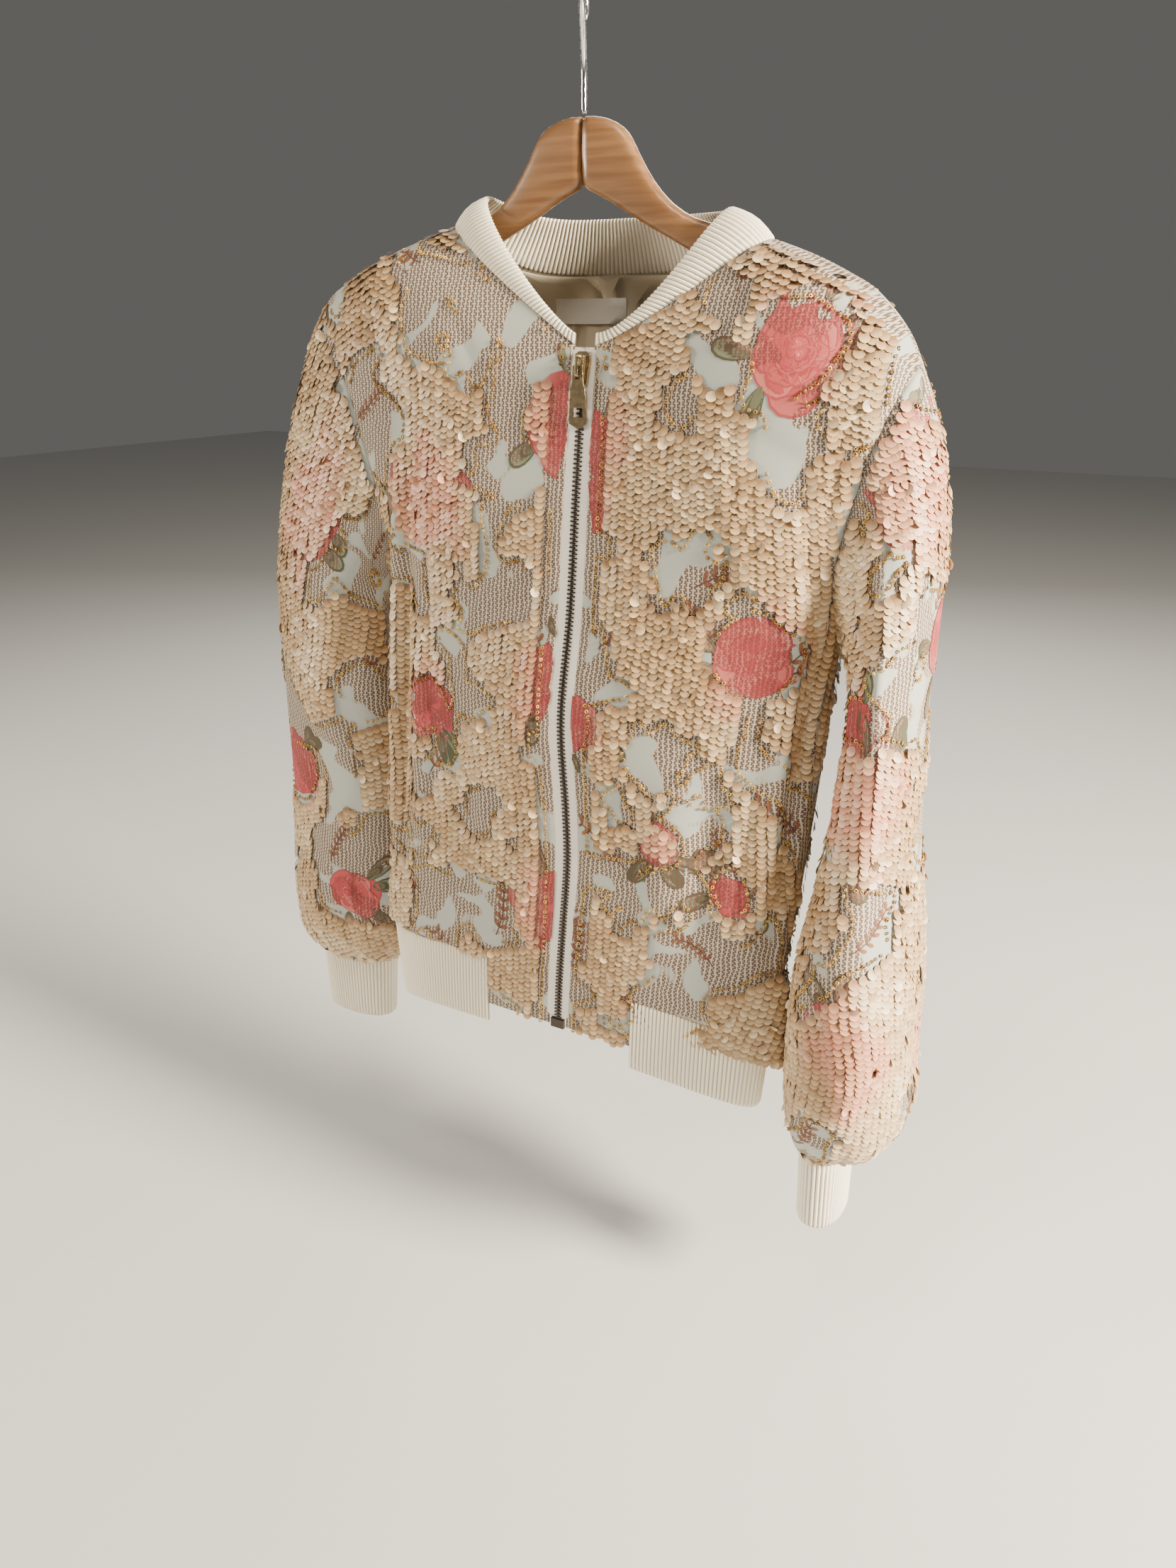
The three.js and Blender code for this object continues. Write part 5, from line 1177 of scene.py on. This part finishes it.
one_ring = ring_shape()
for number, name in enumerate(cloth_names):
    rng = np.random.default_rng(400 + number)
    places = contour_points(name, RING_AWAY)
    u, z = places[:, 0], places[:, 1]
    sewn = lattice_noise(u, z, 61 + number, 30) > 0.27
    points, outward, on_cloth = lay(cloths[name], u, z, seam_margins[name])
    keep = sewn & on_cloth
    if name.startswith("front"):
        keep &= u > 9
    points, outward = points[keep], outward[keep]
    n = len(points)
    lean, yaw, roll = rng.normal(0, 0.3, n), rng.normal(0, 0.35, n), rng.uniform(0, 6.28, n)
    right, up, out = hanging_frames(outward, lean, yaw, roll)
    # A painted glint for each ring, from smooth noise and chance.
    painted_glint = 0.3 + 0.5 * (lattice_noise(u[keep], z[keep], 77, 40) - 0.4) + rng.normal(0, 0.2, n)
    places = points + outward * (CLOTH_THICKNESS / 2 + RING_LIFT)
    rings = scattered(f"ring_chains_{name}", places, euler_of(right, up, out), rng.uniform(0.9, 1.08, n),
                      one_ring, bronze, {"tint": np.clip(painted_glint, 0, 1)})
    shaded_smooth(rings)
    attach(rings, JACKET)
    sewn_on[wall_of[name]].append(rings)

# Rib bands: neck, hem and cuffs of cream 1x1 rib knit, each a double layer folded at its free edge,
# sewn on stretched so that it draws the cloth in. The ribs run across each band.

RIB_PITCH = 2.9
RIB_COLUMNS = 6
RIB_DEPTH = 0.0014
LOOP_PITCH = 1.5
SEAM_GAP = 0.3
HEM_BAND_HEIGHT, HEM_BAND_DROP, HEM_BAND_PULL, HEM_TUCK = 56, 7, 0.965, 1.8
NECK_BAND_ROLL = 3
neck_edge = {"front_y": -35, "front_z": -206, "back_x": -6, "back_y": 42, "back_z": -137, "side_y": 1,
             RIGHT: {"x": -69, "z": -125, "rise": 1.2}, LEFT: {"x": 97, "z": -138, "rise": 1.7}}
cuff_end = {RIGHT: {"z": -768, "x": -228, "y": 1, "reach": 32, "depth": 16},
            LEFT: {"z": -806, "x": 205, "y": -8, "reach": 15, "depth": 27}}


def rib_wave(tree, wale):
    """Height over a rib from its count: 0 in the valleys and 1 on the ridge."""
    return sums(tree, "ABSOLUTE", sums(tree, "SINE", sums(tree, "MULTIPLY", wale, math.pi)))


rib_knit, tree, shader = new_material("cream rib knit", Roughness=0.82, Sheen_Weight=0.25,
                                      Sheen_Roughness=0.5)
across_rib = rib_wave(tree, node(tree, "ShaderNodeAttribute", attribute_name="wale").outputs["Fac"])
# Painted shade: the knit's colour darkens from the ridges into the valleys between the ribs.
valley_shade_range = {"Value": across_rib, "From Max": 0.75, "To Min": 1.0, "To Max": 0.0}
painted_valley_shade = node(tree, "ShaderNodeMapRange", valley_shade_range).outputs[0]
knit_with_painted_shade = tinted(tree, painted_valley_shade, (0.97, 0.92, 0.77, 1), (0.56, 0.48, 0.35, 1))
tree.links.new(knit_with_painted_shade, shader.inputs["Base Color"])
up_band = node(tree, "ShaderNodeSeparateXYZ", {0: cloth_place_nodes(tree)}).outputs["Y"]
loop_rows = sums(tree, "DIVIDE", up_band, LOOP_PITCH)
loop = from_middle(tree, sums(tree, "ADD", loop_rows, sums(tree, "MULTIPLY", across_rib, 0.5)))
loops = node(tree, "ShaderNodeBump", {"Strength": 0.35, "Distance": 0.0004, "Height": loop})
tree.links.new(loops.outputs[0], shader.inputs["Normal"])

rib_tree, given = node_tree("GeometryNodeTree", "rib knit",
                            {"Band": "Geometry", "Rib Depth": "Float", "Material": "Material"},
                            {"Ribbed Band": "Geometry"})
wave = rib_wave(rib_tree, stored(rib_tree, "wale", "FLOAT"))
rise = sums(rib_tree, "SUBTRACT", sums(rib_tree, "POWER", wave, 0.7), 0.5)
height = sums(rib_tree, "MULTIPLY", rise, given["Rib Depth"])
rib_move = {0: stored(rib_tree, "outward", "FLOAT_VECTOR"), "Scale": height}
move = node(rib_tree, "ShaderNodeVectorMath", rib_move, operation="SCALE").outputs[0]
raised = node(rib_tree, "GeometryNodeSetPosition", {"Geometry": given["Band"], "Offset": move})
end_tree(rib_tree, raised.outputs[0], given["Material"], "Ribbed Band")


def rib_places(middle_line, start, stop):
    """Places of a band's columns, with a whole number of ribs, and the rib count at each."""
    fine = np.linspace(start, stop, 4001)
    run = np.concatenate([[0], np.cumsum(np.linalg.norm(np.diff(middle_line(fine), axis=0), axis=1))])
    ribs = round(run[-1] / RIB_PITCH)
    wales = np.linspace(0, ribs, ribs * RIB_COLUMNS + 1)
    return np.interp(wales / ribs * run[-1], run, fine), wales


def rib_band(node_name, name, band_point, start, stop, closed):
    """A ribbed band over band_point(places, share), which gives points and outward ways."""
    columns, wales = rib_places(lambda at: band_point(at, np.full_like(at, 0.5))[0], start, stop)
    if closed:
        columns, wales = columns[:-1], wales[:-1]
    place, share = np.meshgrid(columns, (0, 0.04, 0.22, 0.42, 0.62, 0.82, 0.96, 1))
    points, outward = band_point(place, share)
    down = np.linalg.norm(np.diff(points, axis=0), axis=2)
    height = np.concatenate([np.zeros((1, len(columns))), np.cumsum(down, axis=0)])
    places = np.stack([wales * RIB_PITCH + np.zeros_like(height), height], axis=-1)
    corners, faces, _, flat = wall_arrays(points, outward, places, closed=closed)
    piece = mesh_object(name, corners, faces, [rib_knit], places=flat)
    add_values(piece.data, "wale", "FLOAT", np.tile(wales, 2 * len(points)))
    add_values(piece.data, "outward", "FLOAT_VECTOR", np.concatenate([outward, -outward]))
    worked(piece, rib_tree, {"Rib Depth": RIB_DEPTH, "Material": rib_knit}, ("outward",))
    shaded_smooth(piece)
    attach(piece, JACKET)
    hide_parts(node_name)


def neck_frame(side, turn):
    """Way the thickness runs in the neck seam, and the way from the body to the band."""
    after = neck_point(neck_seam, side, np.clip(turn + 0.01, 0, math.pi))
    before = neck_point(neck_seam, side, np.clip(turn - 0.01, 0, math.pi))
    seam = neck_point(neck_seam, side, turn)
    edge = neck_point(neck_edge, side, turn) - seam
    run = unit(after - before)
    outward = unit(np.cross(run, edge))
    away = seam - (neck_seam["back_x"], neck_seam["side_y"], 0)
    away[..., 2] = 30
    outward *= np.where(np.sum(outward * away, axis=-1) < 0, -1, 1)[..., None]
    across = unit(np.cross(run, outward))
    across *= np.where(np.sum(across * edge, axis=-1) < 0, -1, 1)[..., None]
    at_back = (turn > math.pi - 0.001)[..., None]
    outward = np.where(at_back, unit(xyz(0, edge[..., 2], -edge[..., 1])), outward)
    return outward, np.where(at_back, unit(xyz(0, edge[..., 1], edge[..., 2])), across)


def neck_band_point(place, up):
    """Neck band: place runs from the zip, -1, round the back, 0, to the zip, 1; up from seam to edge."""
    turn = math.pi * (1 - np.abs(place))
    found = []
    for side in (RIGHT, LEFT):
        outward, across = neck_frame(side, turn)
        low = neck_point(neck_seam, side, turn) + across * SEAM_GAP / 2
        high = neck_point(neck_edge, side, turn)
        points = mix(low, high, up[..., None])
        points = points + outward * (NECK_BAND_ROLL * np.sin(math.pi * up) * np.sin(turn))[..., None]
        points[..., 0] += np.where(np.abs(place) > 0.9999, side * SEAM_GAP, 0)
        found.append((points, outward))
    on_right = (place < 0)[..., None]
    return [np.where(on_right, right, left) for right, left in zip(*found)]


def hem_band_point(place, down):
    """Hem band: place runs from one front, -2, round the back, 0, to the other, 2; down from the seam."""
    share = np.abs(place)
    points, outward = np.zeros(place.shape + (3,)), np.zeros(place.shape + (3,))
    for side in (RIGHT, LEFT):
        for face in (FRONT, BACK):
            here = ((place < 0) == (side == RIGHT)) & ((share < 1) == (face == BACK))
            if not here.any():
                continue
            held, low = share[here], down[here]
            across = held if face == BACK else mix(1, TAB_ACROSS, held - 1)
            drop = HEM_BAND_HEIGHT + HEM_BAND_DROP * smooth(0.6 + 0.4 * held if face == BACK else 2 - held)
            pull = mix(1, HEM_BAND_PULL, low * (1 if face == BACK else smooth(2 - held)))
            seam = plain_body(side, face, across, np.zeros_like(across))
            hung = plain_body(side, face, across, -low * drop / (UNDERARM_Z - HEM_SEAM_Z))
            tuck = SEAM_GAP / 2 + HEM_TUCK * np.clip(overhang_at(side, face, across) / 8, 0, 1)
            hung[..., 0] = mix(centre_back["x"][0], hung[..., 0], pull)
            hung[..., 0] += np.where(held > 1.9999, side * SEAM_GAP, 0)
            hung[..., 2] = seam[..., 2] - drop * low - np.where(low == 0, tuck, 0)
            quarter = across * math.pi / 2
            points[here] = hung
            outward[here] = unit(xyz(side * np.sin(quarter) ** 3, face * np.cos(quarter), 0))
    return points, outward


def cuff_band(side):
    """The function that gives a cuff's points and outward ways."""
    end = cuff_end[side]

    def point(around, down):
        """Around the wrist in turns, and down from the sleeve's seam."""
        angle = around * 2 * math.pi
        top = sleeve_section(side, around, np.full_like(around, sleeve_sections[side]["z"][-1] - 0.001))
        low = xyz(end["x"] - side * end["reach"] * soft_wave(np.cos(angle), SLEEVE_POWER),
                  end["y"] - end["depth"] * soft_wave(np.sin(angle), SLEEVE_POWER), end["z"])
        points = mix(top, low, down[..., None])
        points[..., 2] -= np.where(down == 0, SEAM_GAP / 2, 0)
        return points, unit(xyz(-side * np.cos(angle) / end["reach"], -np.sin(angle) / end["depth"], 0))

    return point


rib_band("neck_band", "neck_band_ribbed", neck_band_point, -1, 1, False)
rib_band("hem_band", "hem_band_ribbed", hem_band_point, -2, 2, False)
for side, side_name in two_sides:
    rib_band(f"cuff_{side_name}", f"cuff_{side_name}_ribbed", cuff_band(side), 0, 1, True)

# Zip tapes: white twill, sewn between each front's edge and its lining, with the teeth clamped on their
# corded inner edges, which meet behind the teeth.

TAPE_TOP_Z, TAPE_LOW_Z = FRONT_TOP_Z - 1, -675.85
TAPE_HALF_THICKNESS = 0.55
TWILL_PITCH = 0.9
twill, tree, shader = new_material("white twill tape", Roughness=0.75)
place = node(tree, "ShaderNodeSeparateXYZ", {0: cloth_place_nodes(tree)}).outputs
slant = sums(tree, "ADD", place["Y"], sums(tree, "ABSOLUTE", place["X"]))
twill_line = sums(tree, "MULTIPLY", from_middle(tree, sums(tree, "DIVIDE", slant, TWILL_PITCH)), 1.2)
twill_shade = tinted(tree, twill_line, (0.86, 0.84, 0.80, 1), (0.66, 0.63, 0.59, 1))
tree.links.new(twill_shade, shader.inputs["Base Color"])


def zip_place(offset, z):
    """Points and outward ways beside the zip's centre line."""
    above, here, below = (table_point(zip_line, "z", at) for at in (np.minimum(z + 2, FRONT_TOP_Z), z, z - 2))
    run = above - below
    return here + xyz(offset, 0, 0), unit(xyz(0, -run[..., 2], run[..., 1]))


for side, side_name in two_sides:
    offset, z = np.meshgrid((0.2, 2.6, 3.2, 5.0, TAPE_HALF_WIDTH - 0.15, 9.0, 11.2),
                            np.linspace(TAPE_LOW_Z, TAPE_TOP_Z, 160))
    points, outward = zip_place(side * offset, z)
    sewn, sewn_out, _ = lay(cloths[f"front_{side_name}"], offset[:, 5:].ravel(), z[:, 5:].ravel())
    points[:, 5:], outward[:, 5:] = sewn.reshape(-1, 2, 3), sewn_out.reshape(-1, 2, 3)
    inset = np.where(offset < 3, 0.35, 0)[..., None]
    corners, faces, _, flat = wall_arrays(points - outward * inset, outward * TAPE_HALF_THICKNESS,
                                          np.stack([offset, z], -1))
    tape = mesh_object(f"zip_tape_{side_name}_twill", corners, faces, [twill], places=flat)
    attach(tape, JACKET)
    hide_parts(f"zip_tape_{side_name}")

# Zip teeth: stamped from metal, bronzed dark, and clamped on the tapes' cords one by one. They sit from
# the left and the right in turn, and each one's head holds between the two that face it.

TOOTH_PITCH = 2.7
CHAIN_TOP_Z, CHAIN_LOW_Z = -239, -675
dark_metal, _, _ = new_material("bronzed teeth", Base_Color=(0.075, 0.062, 0.052, 1), Metallic=0.9,
                                Roughness=0.33)
outline = [(-0.6, -0.42), (0.5, -0.6), (1.5, -0.4), (2.85, -0.58), (3.0, 0),
           (2.85, 0.58), (1.5, 0.4), (0.5, 0.6), (-0.6, 0.42)]
count = len(outline)
corners = [(x, y, z) for y in (-1.15, 0.7) for x, z in outline]
faces = [tuple(range(count)), tuple(range(2 * count - 1, count - 1, -1))]
faces += [(k, count + k, count + (k + 1) % count, (k + 1) % count) for k in range(count)]
one_tooth = small_shape("one_tooth", corners, faces)
levels = np.arange(CHAIN_LOW_Z, CHAIN_TOP_Z, TOOTH_PITCH / 2)
points, outward = zip_place(np.zeros_like(levels), levels)
on_left = np.arange(len(levels)) % 2 == 0
lean = np.arctan2(outward[:, 2], -outward[:, 1])
turns = np.stack([-lean * np.where(on_left, 1, -1), lean * 0, np.where(on_left, 0, math.pi)], 1)
teeth = scattered("zip_teeth", points, turns, np.ones(len(levels)), one_tooth, dark_metal)
shaded_smooth(teeth, 30)
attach(teeth, JACKET)
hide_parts("zip_chain")

# Zip slider and box: the slider is die-cast, with a crown and a bail, plated pale gold, and holds the
# teeth together where it stands. The box is a dark bronzed block, pressed on the zip's foot.

plated, tree, shader = new_material("pale plated metal", Base_Color=(0.46, 0.36, 0.22, 1), Metallic=1.0,
                                    Roughness=0.24)
where = node(tree, "ShaderNodeTexCoord").outputs["Object"]
wear = node(tree, "ShaderNodeTexNoise", {"Vector": where, "Scale": 260.0, "Detail": 3.0})
worn = node(tree, "ShaderNodeMapRange", {"Value": wear.outputs["Fac"], "To Min": 0.2, "To Max": 0.34})
tree.links.new(worn.outputs[0], shader.inputs["Roughness"])
finer_copy("zip_slider", "zip_slider_rounded", plated, bevel=0.00035)
finer_copy("zip_box", "zip_box_rounded", dark_metal, bevel=0.0006)

# Pull tab: a flat tapered tab, die-cast and plated like the slider, with an eye round the bail and
# a window near its foot. It hangs from the bail and turns on it.

finer_copy("pull_tab", "pull_tab_rounded", plated, body="pull_tab", bevel=0.0003)

# Lining: cream satin that shows inside the open neck, below the band at the back. It is cut like the
# top of the back, is sewn into the neck seam and hangs down from there.

satin, tree, shader = new_material("cream satin", Base_Color=(0.78, 0.70, 0.54, 1), Roughness=0.55,
                                   Sheen_Weight=0.2)
where = node(tree, "ShaderNodeTexCoord").outputs["Object"]
crease = node(tree, "ShaderNodeTexNoise", {"Vector": where, "Scale": 30.0, "Detail": 2.0})
soft_crease = node(tree, "ShaderNodeBump", {"Strength": 0.12, "Distance": 0.001,
                                            "Height": crease.outputs["Fac"]})
tree.links.new(soft_crease.outputs[0], shader.inputs["Normal"])
lining = finer_copy("back_neck_lining", "back_neck_lining_satin", satin)

# Neck label: a short strip of white woven satin, folded under at its ends and sewn flat on the lining
# below the neck seam. It bears no mark.

label_satin, tree, shader = new_material("white label satin", Roughness=0.45)
where = node(tree, "ShaderNodeTexCoord").outputs["Object"]
rows = node(tree, "ShaderNodeTexWave", {"Vector": where, "Scale": 420.0}, bands_direction="Z")
label_shade = tinted(tree, rows.outputs["Fac"], (0.93, 0.92, 0.89, 1), (0.84, 0.83, 0.81, 1))
tree.links.new(label_shade, shader.inputs["Base Color"])
label = finer_copy("neck_label", "neck_label_satin", label_satin)

# Floor, light and camera: a plain pale floor below the hanging jacket. Warm daylight comes from beside
# the jacket on its sunny side and softly from the other, with weak light from above and from behind.

FLOOR_REACH, FLOOR_Z = 6.0, -0.9
floor_finish, _, _ = new_material("pale floor", Base_Color=(0.62, 0.63, 0.64, 1), Roughness=0.9)
floor_corners = [(x * FLOOR_REACH, y * FLOOR_REACH, FLOOR_Z) for x, y in ((-1, -1), (1, -1), (1, 1), (-1, 1))]
floor_mesh = bpy.data.meshes.new("floor")
floor_mesh.from_pydata(floor_corners, [], [(0, 1, 2, 3)])
floor_mesh.materials.append(floor_finish)
floor = bpy.data.objects.new("floor", floor_mesh)
bpy.context.scene.collection.objects.link(floor)

world = bpy.data.worlds.new("pale room")
world.use_nodes = True
room = world.node_tree.nodes["Background"].inputs
room["Color"].default_value = (0.68, 0.66, 0.62, 1)
room["Strength"].default_value = 0.18
bpy.context.scene.world = world

CENTRE = Vector((0.0, 0.0, -0.42))
for name, place, width, power, colour in (
    ("window", (-1.75, -1.1, 0.1), 0.6, 37, (1.0, 0.86, 0.66)),
    ("sun", (1.9, -0.1, 0.3), 0.5, 215, (1.0, 0.87, 0.67)),
    ("above", (0.15, -0.75, 0.95), 0.5, 9, (1.0, 0.88, 0.72)),
    ("back", (-0.8, 1.8, 0.6), 1.2, 26, (1.0, 0.95, 0.88)),
):
    lamp = bpy.data.lights.new(name, "AREA")
    lamp.shape, lamp.size, lamp.energy, lamp.color = "DISK", width, power, colour
    holder = bpy.data.objects.new(name, lamp)
    holder.location = place
    holder.rotation_euler = (CENTRE - Vector(place)).to_track_quat("-Z", "Y").to_euler()
    bpy.context.scene.collection.objects.link(holder)

FOCAL_PIXELS, LONG_SIDE_PIXELS = 1676, 2212
camera_data = bpy.data.cameras.new("camera")
camera_data.lens = camera_data.sensor_width * FOCAL_PIXELS / LONG_SIDE_PIXELS
camera = bpy.data.objects.new("camera", camera_data)
heading, pitch = math.radians(29.13), math.radians(21.0)
look = Vector((-math.sin(heading) * math.cos(pitch), math.cos(heading) * math.cos(pitch), -math.sin(pitch)))
camera.location = (0.39836, -0.70986, -0.203)
camera.rotation_euler = look.to_track_quat("-Z", "Y").to_euler()
bpy.context.scene.collection.objects.link(camera)
bpy.context.scene.camera = camera
